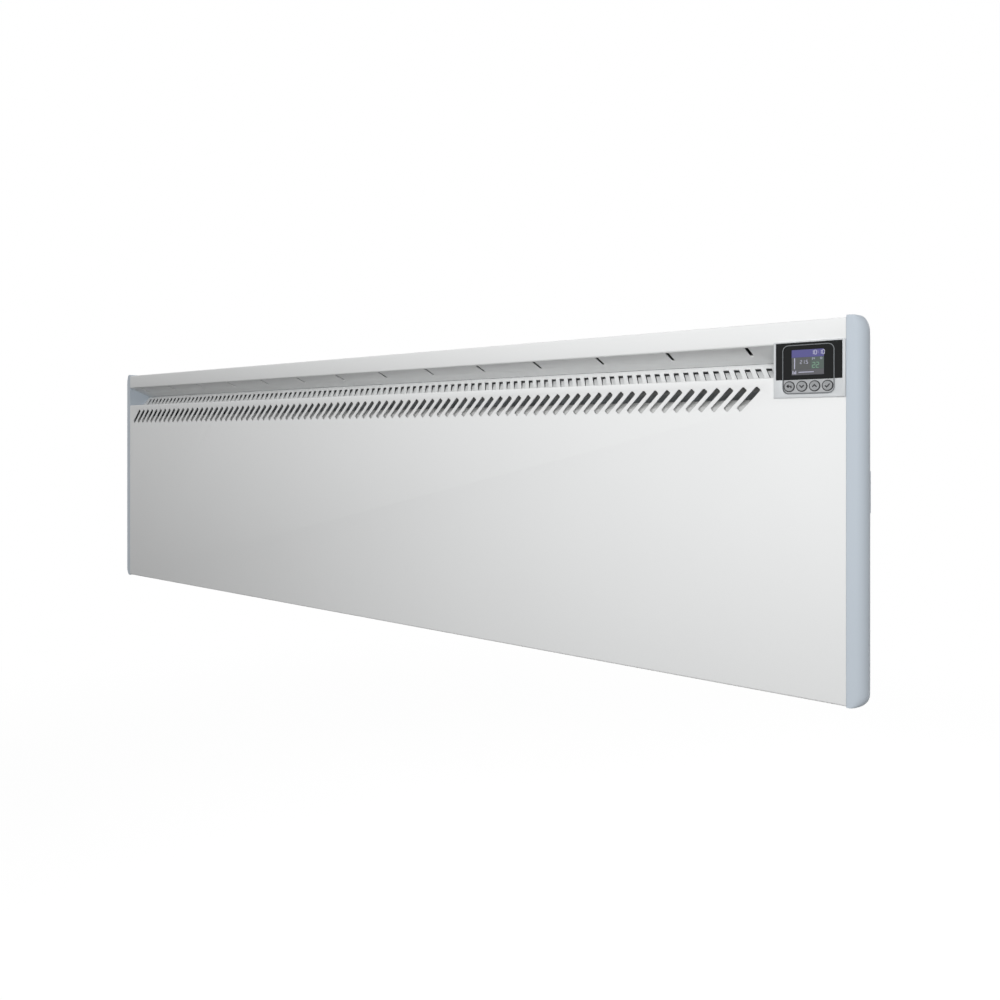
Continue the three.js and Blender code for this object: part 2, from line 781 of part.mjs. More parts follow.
function elementFins([x0, x1]) {
  return prismAcross(finShape(), x0 + finSetback, x1 - finSetback);
}

function elementRod([x0, x1]) {
  return rodAcross(x0 - rodOverrun, x1 + rodOverrun, rodRadius, elementDepth, elementHeight);
}

function ceramicBush(x) {
  const bore = rodRadius + rodClearance;
  const half = bushLength / 2;
  const collar = bushRadius + bushCollar;
  const seat = sheet / 2 + clearance;
  const profile = [[bore, -half], [bushRadius, -half], [bushRadius, seat],
    [collar, seat], [collar, half], [bore, half], [bore, -half]];
  const points = profile.map(([r, u]) => new THREE.Vector2(r, u));
  const geometry = new THREE.LatheGeometry(points, 12);
  geometry.rotateZ(-Math.PI / 2);
  geometry.translate(x, elementDepth, elementHeight);
  return geometry;
}

function elementHolder(x, side) {
  const low = elementHeight - holderHeight / 2;
  const high = elementHeight + holderHeight / 2;
  const face = side > 0
    ? [[x - sheet / 2, holderFront], [x - sheet / 2, rearPlane], [x + holderFoot, rearPlane]].reverse()
    : [[x + sheet / 2, holderFront], [x + sheet / 2, rearPlane], [x - holderFoot, rearPlane]];
  const body = prismUp(foldedSheet(face), low, high);
  return cut(body, rodAcross(x - holderFoot, x + holderFoot, bushRadius + clearance,
    elementDepth, elementHeight, 16));
}

function cutoutClip() {
  const face = [[elementDepth, cutoutHeight], [rearPlane, cutoutHeight],
    [rearPlane, cutoutHeight + holderFoot]];
  return prismAcross(foldedSheet(face), cutoutPlace - clipWidth / 2, cutoutPlace + clipWidth / 2);
}

function thermalCutout() {
  const top = cutoutHeight - clearance;
  const foot = top - cutoutBody;
  const step = top - cutoutFlangeThickness;
  const flange = cutoutRadius + cutoutFlange;
  const profile = [[0, foot], [cutoutRadius, foot], [cutoutRadius, step], [flange, step],
    [flange, top], [0, top]];
  const disc = new THREE.LatheGeometry(profile.map(([r, z]) => new THREE.Vector2(r, z)), 20);
  disc.rotateX(Math.PI / 2);
  disc.translate(cutoutPlace, elementDepth + cutoutRadius + cutoutSetback, 0);
  return disc;
}

function sensorClip() {
  const foot = inletTop + clearance;
  const part = (half, low, high, margin = 0) => block(sensorPlace - half, sensorPlace + half,
    sensorDepth - clipHalfDepth - margin, sensorDepth + clipHalfDepth + margin, low, high);
  const base = part(clipBaseHalf, foot, foot + clipBaseThickness);
  const post = part(clipPostHalf, foot, foot + clipPostHeight);
  const mouth = part(sensorMouth / 2, foot + sensorRise, foot + clipPostHeight + 1, 1);
  const hole = rodBack(sensorDepth - sensorLength, sensorDepth + sensorLength,
    sensorRadius + clearance, sensorPlace, foot + sensorRise, 12);
  return cut(join(base, post), hole, mouth);
}

function airSensor() {
  return rodBack(sensorDepth - sensorLength / 2, sensorDepth + sensorLength / 2, sensorRadius,
    sensorPlace, inletTop + clearance + sensorRise, 12);
}

// Openings of the bezel: the window above and the button tray below run into each other.
function displayBezel() {
  const right = halfWidth - windowRight + clearance;
  const left = halfWidth - windowRight - windowWidth - clearance;
  const split = windowTop - windowHeight - clearance / 2;
  const trayLeft = halfWidth - trayRight - trayWidth - clearance;
  const trayEnd = halfWidth - trayRight + clearance;
  const front = -bezelThickness - clearance;
  const body = prismBack(rectangle(unitLeft, unitLeft + unitWidth, unitBottom, unitTop), front, -clearance);
  const window = prismBack(rectangle(left, right, split, windowTop + clearance), front - 1, 1);
  const tray = prismBack(shapeOf(roundedRectangle(trayLeft, trayEnd, trayBottom - clearance, split + 1,
    trayCorner, 0)), front - 1, 1);
  return cut(body, window, tray);
}

function glassFront() {
  return -bezelThickness - clearance + glassRecess;
}

function displayWindow() {
  const right = halfWidth - windowRight;
  const shape = rectangle(right - windowWidth, right, windowTop - windowHeight, windowTop);
  const lcdX = halfWidth - lcdRight;
  shape.holes.push(rectangle(lcdX - lcdWidth - clearance, lcdX + clearance,
    lcdTop - lcdHeight - clearance, lcdTop + clearance));
  return prismBack(shape, glassFront(), glassFront() + glassThickness);
}

function lcdPanel() {
  const right = halfWidth - lcdRight;
  const glass = block(right - lcdWidth, right, glassFront(), glassThickness, lcdTop - lcdHeight, lcdTop);
  const back = glassFront() + glassThickness + clearance;
  const module = block(right - lcdWidth - lcdFrame, right + lcdFrame, back, boardDepth - clearance,
    lcdTop - lcdHeight - lcdFrame, lcdTop + lcdFrame);
  return join(glass, module);
}

function buttonX(k) {
  return halfWidth - trayRight - trayWidth / 2 + (k - (buttonCount - 1) / 2) * buttonPitch;
}

function buttonTray() {
  const right = halfWidth - trayRight;
  const top = windowTop - windowHeight - clearance;
  const shape = shapeOf(roundedRectangle(right - trayWidth, right, trayBottom, top, trayCorner, 0));
  for (let k = 0; k < buttonCount; k += 1) {
    shape.holes.push(circleShape(buttonX(k), buttonHeight, buttonRadius + buttonGap, 16));
  }
  return prismBack(shape, glassFront(), glassFront() + glassThickness);
}

// Thin bright outline round the display module, standing just off the bezel and the glass.
function moduleRim() {
  const left = halfWidth - trayRight - trayWidth - rimWidth;
  const right = halfWidth - trayRight + rimWidth;
  const low = trayBottom - rimWidth;
  const high = windowTop - 2;
  const shape = shapeOf(roundedRectangle(left, right, low, high, trayCorner + rimWidth));
  shape.holes.push(shapeOf(roundedRectangle(left + rimWidth, right - rimWidth, low + rimWidth,
    high - rimWidth, trayCorner)));
  const back = -bezelThickness - 2 * clearance;
  return prismBack(shape, back - rimThickness, back);
}

function buttonBody(k) {
  const front = glassFront() - buttonProud;
  const seat = glassFront() + glassThickness + clearance;
  const collar = buttonRadius + collarOverhang;
  const end = boardDepth - keyReach - keyStem - buttonTravel - clearance;
  const profile = [[0, -end], [buttonStem, -end], [buttonStem, -seat - buttonCollar],
    [collar, -seat - buttonCollar], [collar, -seat], [buttonRadius, -seat],
    [buttonRadius, -front - buttonEdge], [buttonRadius - buttonEdge, -front], [0, -front]];
  const geometry = new THREE.LatheGeometry(profile.map(([r, u]) => new THREE.Vector2(r, u)), 16);
  geometry.rotateX(Math.PI);
  geometry.translate(buttonX(k), 0, buttonHeight);
  return geometry;
}

function controlHousing() {
  const front = glassFront() + glassThickness + clearance;
  const low = unitBottom + housingInset;
  const high = unitTop - housingInset - housingDrop;
  const shell = block(housingLeft, housingRight, front, housingDepth, low, high);
  const room = block(housingLeft + housingWall, housingRight - housingWall, front - 1,
    housingDepth - housingWall, low + housingWall, high - housingWall);
  const posts = [];
  [housingLeft + housingPost, housingRight - housingPost].forEach((x) => {
    [low + housingPost, high - housingPost].forEach((z) => {
      posts.push(rodBack(boardDepth + boardThickness + clearance, housingDepth - housingWall / 2,
        housingPostRadius, x, z, 8));
    });
  });
  const outlet = rodBack(housingDepth - 2 * housingWall, housingDepth + 1, housingOutlet,
    (housingLeft + housingRight) / 2, (low + high) / 2, 12);
  return cut(join(cut(shell, room), ...posts), outlet);
}

function controlBoard() {
  const low = unitBottom + housingInset + housingWall + clearance;
  const high = unitTop - housingInset - housingDrop - housingWall - clearance;
  const left = housingLeft + housingWall + clearance;
  const right = housingRight - housingWall - clearance;
  const board = block(left, right, boardDepth, boardDepth + boardThickness, low, high);
  const keys = [];
  for (let k = 0; k < buttonCount; k += 1) {
    const x = buttonX(k);
    keys.push(block(x - keyHalf, x + keyHalf, boardDepth - keyReach, boardDepth + tracePad,
      buttonHeight - keyHalf, buttonHeight + keyHalf));
    keys.push(rodBack(boardDepth - keyReach - keyStem, boardDepth - keyStem, keyHalf / 2, x,
      buttonHeight, 10));
  }
  const chipWidth = (right - left) / 5;
  const chip = block(left + 2 * chipWidth, left + 3 * chipWidth, boardDepth + boardThickness - tracePad,
    boardDepth + boardThickness + keyReach, high - 2 * chipWidth, high - chipWidth);
  return join(board, ...keys, chip);
}

// The switch is drawn in the frame of its seat, and its paddle about its own pivot.
function rockerFrame() {
  const plate = block(clearance, clearance + rockerFrameProud, -rockerFrameWidth / 2,
    rockerFrameWidth / 2, -rockerFrameHeight / 2, rockerFrameHeight / 2);
  const body = block(-rockerBodyDepth, clearance + rockerFrameProud / 2, -rockerBodyWidth / 2,
    rockerBodyWidth / 2, -rockerBodyHeight / 2, rockerBodyHeight / 2);
  const half = rockerLength / 2 + rockerSwing;
  const well = block(capWall - rockerBodyDepth, rockerFrameProud + 2, -rockerWidth / 2 - clearance,
    rockerWidth / 2 + clearance, -half, half);
  return cut(join(plate, body), well);
}

function rocker() {
  const half = rockerLength / 2;
  const out = rockerFrameProud + rockerProud + rockerPivot;
  const lower = [[-rockerPivot, -rockerRootHalf], [-rockerBack, rockerBackInset - half],
    [out - rockerChamfer, -half], [out, rockerTipInset - half]];
  const upper = lower.map(([x, z]) => [x, -z]).reverse();
  const outline = [...lower, [out - rockerDish, 0], ...upper];
  const geometry = new THREE.ExtrudeGeometry(shapeOf(outline), { depth: rockerWidth, bevelEnabled: false });
  geometry.translate(0, 0, -rockerWidth / 2);
  geometry.rotateX(Math.PI / 2);
  return geometry;
}

function boardCarrier() {
  const x0 = carrierPlace - carrierWidth / 2;
  const x1 = carrierPlace + carrierWidth / 2;
  const z1 = carrierBottom + carrierHeight;
  const tray = block(x0, x1, rearPlane - carrierLip, rearPlane, carrierBottom, z1);
  const room = block(x0 + carrierWall, x1 - carrierWall, rearPlane - carrierLip - 1,
    rearPlane - carrierWall, carrierBottom + carrierWall, z1 - carrierWall);
  const posts = [];
  [x0 + carrierLip, x1 - carrierLip].forEach((x) => {
    [carrierBottom + carrierLip, z1 - carrierLip].forEach((z) => {
      posts.push(rodBack(rearPlane - carrierLip - carrierWall, rearPlane - carrierWall / 2,
        carrierPost, x, z, 8));
    });
  });
  return join(cut(tray, room), ...posts);
}

// The parts on the board stand at shares of its width and height.
function powerBoard() {
  const back = rearPlane - carrierLip - carrierWall - clearance;
  const front = back - boardThickness;
  const across = (share) => carrierPlace + (share - 0.5) * carrierWidth;
  const up = (share) => carrierBottom + share * carrierHeight;
  const part = (left, right, low, high, reach) => block(across(left), across(right),
    front - reach * tallestPart, front + tracePad, up(low), up(high));
  const board = block(across(0) + carrierWall / 2, across(1) - carrierWall / 2, front, back,
    up(0) + carrierWall / 2, up(1) - carrierWall / 2);
  const relay = part(0.09, 0.32, 0.13, 0.28, 0.73);
  const transformer = part(0.46, 0.71, 0.5, 0.81, 1);
  const sink = part(0.11, 0.34, 0.58, 0.61, 0.64);
  const plug = part(0.51, 0.75, 0.09, 0.2, 0.45);
  const capacitor = rodBack(front - 0.8 * tallestPart, front + tracePad, 0.27 * tallestPart,
    across(0.86), up(0.67), 16);
  return join(board, relay, transformer, capacitor, sink, plug);
}

function terminalBlock() {
  const x0 = terminalPlace - terminalWidth / 2;
  const front = rearPlane - terminalDepth;
  const body = block(x0, x0 + terminalWidth, front, rearPlane, glandHeight - terminalHeight / 2,
    glandHeight + terminalHeight / 2);
  const wells = [];
  for (let k = 0; k < terminalWays; k += 1) {
    const x = x0 + terminalWidth * (k + 0.5) / terminalWays;
    wells.push(rodBack(front - 1, front + terminalWell, terminalWellRadius, x, glandHeight, 10));
    wells.push(block(x - terminalPort / 2, x + terminalPort / 2, front + terminalPort,
      front + 2 * terminalPort, glandHeight - terminalHeight, glandHeight));
  }
  return cut(body, ...wells);
}

function cableGland() {
  const across = glandNutWidth / 2 / Math.cos(Math.PI / 6);
  const seat = casingDepth + clearance;
  const part = (d0, d1, radius, sides) => rodBack(d0, d1, radius, glandPlace, glandHeight, sides);
  const thread = part(rearPlane - glandNutThickness - glandThread, seat + 1, glandRadius, 16);
  const head = part(seat, seat + glandHead, across, 6);
  const dome = part(seat + glandHead - 1, seat + glandReach, glandRadius, 16);
  const bore = part(0, casingDepth + wallGap, glandBore, 12);
  return cut(join(thread, head, dome), bore);
}

function glandNut() {
  const shape = circleShape(glandPlace, glandHeight, glandNutWidth / 2 / Math.cos(Math.PI / 6), 6);
  shape.holes.push(circleShape(glandPlace, glandHeight, glandRadius + clearance, 16));
  return prismBack(shape, rearPlane - glandNutThickness, rearPlane);
}

function casingScrew(x) {
  const height = panelHeight - screwDrop;
  const shank = rodBack(casingDepth - screwLength, casingDepth + clearance + 1, screwRadius, x, height, 8);
  const head = rodBack(casingDepth + clearance, casingDepth + clearance + screwHead,
    screwHeadRadius, x, height, 12);
  return join(shank, head);
}

const wallPlane = casingDepth + wallGap;
const railFront = wallPlane - bracketSheet;
const armFront = railFront - clearance - bracketSheet;
const armBottom = lowerRail - armFoot;

function bracketRail(height) {
  const shape = rectangle(-railLength / 2, railLength / 2, height - railWidth / 2, height + railWidth / 2);
  [-wallSlotPlace, wallSlotPlace].forEach((x) => {
    shape.holes.push(shapeOf(roundedRectangle(x - wallSlotLength / 2, x + wallSlotLength / 2,
      height - wallSlotWidth / 2, height + wallSlotWidth / 2, wallSlotWidth / 2)));
  });
  return prismBack(shape, railFront, wallPlane);
}

function bracketArm(x) {
  const shape = shapeOf(roundedRectangle(x - armWidth / 2, x + armWidth / 2, armBottom,
    hookHeight + armHead, armCorner));
  return prismBack(shape, armFront, armFront + bracketSheet);
}

// Riveted hook: its web passes through the back panel and its tongue stands up inside.
function bracketHook(x) {
  const base = armFront - clearance - bracketSheet;
  const tongue = panelBack - clearance - bracketSheet;
  const face = [[tongue, hookHeight + hookTongue], [tongue, hookHeight - bracketSheet],
    [base, hookHeight - bracketSheet], [base, hookHeight - hookPlate]];
  return prismAcross(foldedSheet(face, bracketSheet), x - hookWidth / 2, x + hookWidth / 2);
}

function bracketFoot(x) {
  const base = armFront - clearance;
  const low = armBottom + footSetback;
  const face = [[casingDepth + clearance, low + footPlate], [casingDepth + clearance, low],
    [base, low], [base, low + footPlate]];
  return prismAcross(foldedSheet(face, bracketSheet), x - hookWidth / 2, x + hookWidth / 2);
}

function piece(name, geometry, finish) {
  const [color, roughness, metalness] = colours[finish];
  const mesh = new THREE.Mesh(geometry, new THREE.MeshStandardMaterial({ color, roughness, metalness }));
  mesh.name = name;
  return mesh;
}

const heater = new THREE.Group();
heater.position.set(0, -wallPlane, -upperRail);

heater.add(
  piece('front_panel', frontPanel(), 'coat'),
  piece('top_hood', topHood(), 'coat'),
  piece('outlet_grille', outletGrille(), 'coat'),
  piece('inlet_grille', inletGrille(), 'galvanised'),
  piece('back_panel', backPanel(), 'galvanised'),
  piece('front_baffle', frontBaffle(), 'coat'),
  piece('air_deflector', airDeflector(), 'galvanised'),
  piece('left_frame', endFrame(-1), 'galvanised'),
  piece('right_frame', endFrame(1), 'galvanised'),
  piece('left_cap', endCap(-1), 'plastic'),
  piece('right_cap', endCap(1), 'plastic'),
);

elementEnds.forEach((ends, i) => {
  heater.add(piece(`element_fins_${i + 1}`, elementFins(ends), 'aluminium'));
  heater.add(piece(`element_rod_${i + 1}`, elementRod(ends), 'steel'));
  ends.forEach((x, j) => {
    const side = j === 0 ? -1 : 1;
    heater.add(piece(`element_holder_${2 * i + j + 1}`, elementHolder(x, side), 'galvanised'));
    heater.add(piece(`ceramic_bush_${2 * i + j + 1}`, ceramicBush(x), 'ceramic'));
  });
});

heater.add(
  piece('cutout_clip', cutoutClip(), 'galvanised'),
  piece('thermal_cutout', thermalCutout(), 'darkPlastic'),
  piece('sensor_clip', sensorClip(), 'whitePlastic'),
  piece('air_sensor', airSensor(), 'darkPlastic'),
  piece('control_housing', controlHousing(), 'silver'),
  piece('display_bezel', displayBezel(), 'silver'),
  piece('display_window', displayWindow(), 'blackGlass'),
  piece('lcd_panel', lcdPanel(), 'lcd'),
  piece('button_tray', buttonTray(), 'silver'),
  piece('module_rim', moduleRim(), 'silver'),
  piece('control_board', controlBoard(), 'board'),
);

for (let k = 0; k < buttonCount; k += 1) {
  heater.add(piece(`button_${k + 1}`, buttonBody(k), 'silver'));
}

const mainsSwitch = new THREE.Group();
mainsSwitch.applyMatrix4(rockerPlace());
const rockerPaddle = piece('mains_rocker', rocker(), 'whitePlastic');
rockerPaddle.position.x = -rockerPivot;
rockerPaddle.rotation.y = rockerTilt;
mainsSwitch.add(piece('rocker_frame', rockerFrame(), 'whitePlastic'), rockerPaddle);
heater.add(mainsSwitch);

heater.add(
  piece('board_carrier', boardCarrier(), 'whitePlastic'),
  piece('power_board', powerBoard(), 'board'),
  piece('terminal_block', terminalBlock(), 'whitePlastic'),
  piece('cable_gland', cableGland(), 'darkPlastic'),
  piece('gland_nut', glandNut(), 'darkPlastic'),
  piece('bracket_rail_upper', bracketRail(upperRail), 'galvanised'),
  piece('bracket_rail_lower', bracketRail(lowerRail), 'galvanised'),
);

['left', 'right'].forEach((name, i) => {
  const x = i === 0 ? -armPlace : armPlace;
  heater.add(
    piece(`bracket_arm_${name}`, bracketArm(x), 'galvanised'),
    piece(`bracket_hook_${name}`, bracketHook(x), 'galvanised'),
    piece(`bracket_foot_${name}`, bracketFoot(x), 'galvanised'),
  );
});

screwPlaces.forEach((x, i) => {
  heater.add(piece(`casing_screw_${i + 1}`, casingScrew(x), 'steel'));
});

export default heater;
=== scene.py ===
import json
import math

import bmesh
import bpy
import numpy as np
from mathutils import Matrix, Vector

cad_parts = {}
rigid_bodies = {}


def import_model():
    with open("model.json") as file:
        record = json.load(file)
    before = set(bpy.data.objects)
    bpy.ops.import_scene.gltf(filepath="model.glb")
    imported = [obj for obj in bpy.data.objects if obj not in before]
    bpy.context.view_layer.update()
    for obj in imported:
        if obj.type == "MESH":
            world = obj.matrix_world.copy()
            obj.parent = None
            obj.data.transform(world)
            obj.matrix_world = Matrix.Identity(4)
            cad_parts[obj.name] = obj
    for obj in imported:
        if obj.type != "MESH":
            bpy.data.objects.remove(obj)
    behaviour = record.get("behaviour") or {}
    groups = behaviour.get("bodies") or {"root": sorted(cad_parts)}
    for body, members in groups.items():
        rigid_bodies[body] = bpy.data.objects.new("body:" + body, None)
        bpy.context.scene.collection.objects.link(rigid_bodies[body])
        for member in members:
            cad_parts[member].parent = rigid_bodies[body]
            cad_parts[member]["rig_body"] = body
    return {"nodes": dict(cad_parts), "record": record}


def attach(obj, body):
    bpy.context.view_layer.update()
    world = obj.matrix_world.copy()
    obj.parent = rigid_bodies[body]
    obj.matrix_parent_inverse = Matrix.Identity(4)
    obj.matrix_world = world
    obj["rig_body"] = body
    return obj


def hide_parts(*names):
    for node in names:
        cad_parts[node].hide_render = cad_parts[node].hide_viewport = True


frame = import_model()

shownNodes = set(frame["nodes"])
for leftOver in list(bpy.data.objects):
    if leftOver.type in ("MESH", "LIGHT", "CAMERA") and leftOver.name not in shownNodes:
        bpy.data.objects.remove(leftOver)
bpy.context.view_layer.update()
scene = bpy.context.scene
print("heater: frame loaded,", len(shownNodes), "nodes")

# The photograph's eye: level, a little below the hood, in front of the right end.
eye = {
    "place": (0.85063, -0.93876, 0.01019), "turn": 36.107, "lens": 29.16, "sensor": 36.0,
    "drop": -0.0628, "near": 0.01, "far": 60,
}


def makeCamera():
    data = bpy.data.cameras.new("photoEye")
    data.lens = eye["lens"]
    data.sensor_width = eye["sensor"]
    data.shift_y = eye["drop"]
    data.clip_start, data.clip_end = eye["near"], eye["far"]
    data.dof.use_dof = False
    camera = bpy.data.objects.new("photoEye", data)
    camera.location = eye["place"]
    camera.rotation_euler = (math.pi / 2, 0, math.radians(eye["turn"]))
    scene.collection.objects.link(camera)
    scene.camera = camera


makeCamera()
print("heater: camera set")


def addNode(tree, kind, feeds=(), **settings):
    # a shader node; each feed is an input's name or number with a socket to link or a constant
    node = tree.nodes.new("ShaderNode" + kind)
    for name, value in settings.items():
        setattr(node, name, value)
    for key, value in dict(feeds).items():
        if isinstance(value, bpy.types.NodeSocket):
            tree.links.new(value, node.inputs[key])
        else:
            node.inputs[key].default_value = value
    return node


def addMath(tree, operation, *feeds):
    return addNode(tree, "Math", enumerate(feeds), operation=operation).outputs[0]


# Studio: a soft lamp in front of the right half and a weaker one behind, in an even pale room.
studio = {
    "room": 0.5, "roomTilt": -0.22,
    "lamps": [
        {"name": "keyLamp", "place": (0.88, -1.42, 0.3), "aim": (0.3, -0.05, -0.05),
         "size": 0.9, "power": 14.5},
        {"name": "backLamp", "place": (1.3, 2.0, 0.7), "aim": (0.2, 0.0, -0.05),
         "size": 1.2, "power": 9.0},
    ],
    "floorLevel": -1.05, "floorHalf": 9.0, "nearFade": 1.6, "farFade": 3.4,
    "floorGrey": 0.12, "floorFaint": 0.4, "floorGlow": 0.76,
}


def makeLamps():
    # the lamps light the scene and don't show as reflections
    for lamp in studio["lamps"]:
        data = bpy.data.lights.new(lamp["name"], "AREA")
        data.shape = "DISK"
        data.size = lamp["size"]
        data.energy = lamp["power"]
        item = bpy.data.objects.new(lamp["name"], data)
        item.location = lamp["place"]
        aim = Vector(lamp["aim"]) - Vector(lamp["place"])
        item.rotation_euler = aim.to_track_quat("-Z", "Y").to_euler()
        item.visible_glossy = False
        scene.collection.objects.link(item)


def makeWorld():
    # the room is a little dimmer beyond the right end; the camera, gloss and glass see it white
    world = bpy.data.worlds.new("paleRoom")
    scene.world = world
    world.use_nodes = True
    tree = world.node_tree
    tree.nodes.clear()
    way = addNode(tree, "TexCoord")
    split = addNode(tree, "SeparateXYZ", {0: way.outputs["Generated"]})
    tilt = addMath(tree, "MULTIPLY_ADD", split.outputs["X"], studio["roomTilt"], studio["room"])
    light = addNode(tree, "Background", {"Color": (1, 1, 1, 1), "Strength": tilt})
    white = addNode(tree, "Background", {"Color": (1, 1, 1, 1)})
    path = addNode(tree, "LightPath").outputs
    gloss = addMath(tree, "MAXIMUM", path["Is Glossy Ray"], path["Is Transmission Ray"])
    seen = addMath(tree, "MAXIMUM", path["Is Camera Ray"], gloss)
    mix = addNode(tree, "MixShader", {0: seen, 1: light.outputs[0], 2: white.outputs[0]})
    addNode(tree, "OutputWorld", {0: mix.outputs[0]})


def makeFloor():
    # pale paper that keeps a faint shadow near the heater and fades to plain white further out
    half, level = studio["floorHalf"], studio["floorLevel"]
    mesh = bpy.data.meshes.new("studioFloor")
    signs = [(-1, -1), (1, -1), (1, 1), (-1, 1)]
    mesh.from_pydata([(half * x, half * y, level) for x, y in signs], [], [(0, 1, 2, 3)])
    floor = bpy.data.objects.new("studioFloor", mesh)
    scene.collection.objects.link(floor)
    material = bpy.data.materials.new("floorPaper")
    material.use_nodes = True
    tree = material.node_tree
    tree.nodes.clear()
    paper, faint = (addNode(tree, "BsdfDiffuse", {"Color": (*[studio[grey]] * 3, 1)})
                    for grey in ("floorGrey", "floorFaint"))
    glow = addNode(tree, "Emission", {"Strength": studio["floorGlow"]})
    white = addNode(tree, "Emission")
    both = addNode(tree, "AddShader", {0: faint.outputs[0], 1: glow.outputs[0]})
    place = addNode(tree, "TexCoord")
    reach = addNode(tree, "VectorMath", {0: place.outputs["Object"]}, operation="LENGTH")
    fade = addNode(tree, "MapRange", {
        "Value": reach.outputs["Value"], "From Min": studio["nearFade"],
        "From Max": studio["farFade"],
    }, interpolation_type="SMOOTHSTEP")
    path = addNode(tree, "LightPath").outputs
    seen = addMath(tree, "MAXIMUM", path["Is Camera Ray"], path["Is Glossy Ray"])
    far = addNode(tree, "MixShader", {
        0: fade.outputs["Result"], 1: both.outputs[0], 2: white.outputs[0],
    })
    shown = addNode(tree, "MixShader", {0: seen, 1: paper.outputs[0], 2: far.outputs[0]})
    addNode(tree, "OutputMaterial", {0: shown.outputs[0]})
    mesh.materials.append(material)


makeLamps()
makeWorld()
makeFloor()
scene.view_settings.view_transform = "Standard"
print("heater: studio set")

# Shared effects, each a node group that takes Scale and Contrast and gives a Tone around 1 and a
# Height. Every pattern reads Object coordinates.
patterns = {
    "noiseRoughness": 0.55, "fineDetail": 3.0, "broadScale": 7.0, "broadDetail": 4.0,
    "warpScale": 40.0, "warpDetail": 2.0, "warpReach": 0.012, "spangleTone": 0.9,
    "streakStretch": (0.03, 1, 1), "streakTone": 0.92, "dotTone": 0.9,
}


def groupShell(name):
    group = bpy.data.node_groups.new(name, "ShaderNodeTree")
    labels = (("Scale", "INPUT"), ("Contrast", "INPUT"), ("Tone", "OUTPUT"), ("Height", "OUTPUT"))
    for label, way in labels:
        group.interface.new_socket(name=label, in_out=way, socket_type="NodeSocketFloat")
    entry = group.nodes.new("NodeGroupInput")
    place = addNode(group, "TexCoord")
    return group, place.outputs["Object"], entry.outputs["Scale"], entry.outputs["Contrast"]


def closeGroup(group, tone, height):
    leave = group.nodes.new("NodeGroupOutput")
    group.links.new(tone, leave.inputs["Tone"])
    group.links.new(height, leave.inputs["Height"])
    return group


def noiseIn(group, place, scale, detail, stretch=(1, 1, 1)):
    turn = addNode(group, "Mapping", {"Vector": place, "Scale": stretch})
    return addNode(group, "TexNoise", {
        "Vector": turn.outputs["Vector"], "Scale": scale, "Detail": detail,
        "Roughness": patterns["noiseRoughness"],
    }).outputs


def surfaceGrain():
    # powder coat or a moulding: a fine height and a broad tone
    group, place, scale, contrast = groupShell("surfaceGrain")
    fine = noiseIn(group, place, scale, patterns["fineDetail"])
    broad = noiseIn(group, place, patterns["broadScale"], patterns["broadDetail"])
    around = addMath(group, "SUBTRACT", broad["Fac"], 0.5)
    tone = addMath(group, "MULTIPLY_ADD", around, contrast, 1.0)
    return closeGroup(group, tone, fine["Fac"])


def zincSpangle():
    # zinc crystals: large flat cells of slightly different grey
    group, place, scale, contrast = groupShell("zincSpangle")
    warp = noiseIn(group, place, patterns["warpScale"], patterns["warpDetail"])
    bend = addNode(group, "VectorMath", {
        0: warp["Color"], 1: [patterns["warpReach"]] * 3, 2: place,
    }, operation="MULTIPLY_ADD")
    cells = addNode(group, "TexVoronoi", {"Vector": bend.outputs[0], "Scale": scale}).outputs
    grey = addNode(group, "SeparateColor", {0: cells["Color"]})
    tone = addMath(group, "MULTIPLY_ADD", grey.outputs[0], contrast, patterns["spangleTone"])
    return closeGroup(group, tone, cells["Distance"])


def drawnStreaks():
    # long fine streaks along x, for drawn and brushed metal
    group, place, scale, contrast = groupShell("drawnStreaks")
    streak = noiseIn(group, place, scale, patterns["fineDetail"], patterns["streakStretch"])
    tone = addMath(group, "MULTIPLY_ADD", streak["Fac"], contrast, patterns["streakTone"])
    return closeGroup(group, tone, streak["Fac"])


def screenDots():
    # a square grid of lit dots with thin dark lines between them
    group, place, scale, contrast = groupShell("screenDots")
    split = addNode(group, "SeparateXYZ", {0: place})
    waves = [addMath(group, "SINE", addMath(group, "MULTIPLY", split.outputs[axis], scale))
             for axis in ("X", "Z")]
    both = addMath(group, "MAXIMUM", *waves)
    tone = addMath(group, "MULTIPLY_ADD", both, contrast, patterns["dotTone"])
    return closeGroup(group, tone, both)


effects = {
    "grain": surfaceGrain(), "spangle": zincSpangle(), "streaks": drawnStreaks(),
    "dots": screenDots(),
}


def linear(values):
    # sRGB numbers out of 255 as the linear colour that the shader takes
    values = np.array(values) / 255
    return np.where(values <= 0.04045, values / 12.92, ((values + 0.055) / 1.055) ** 2.4).tolist()


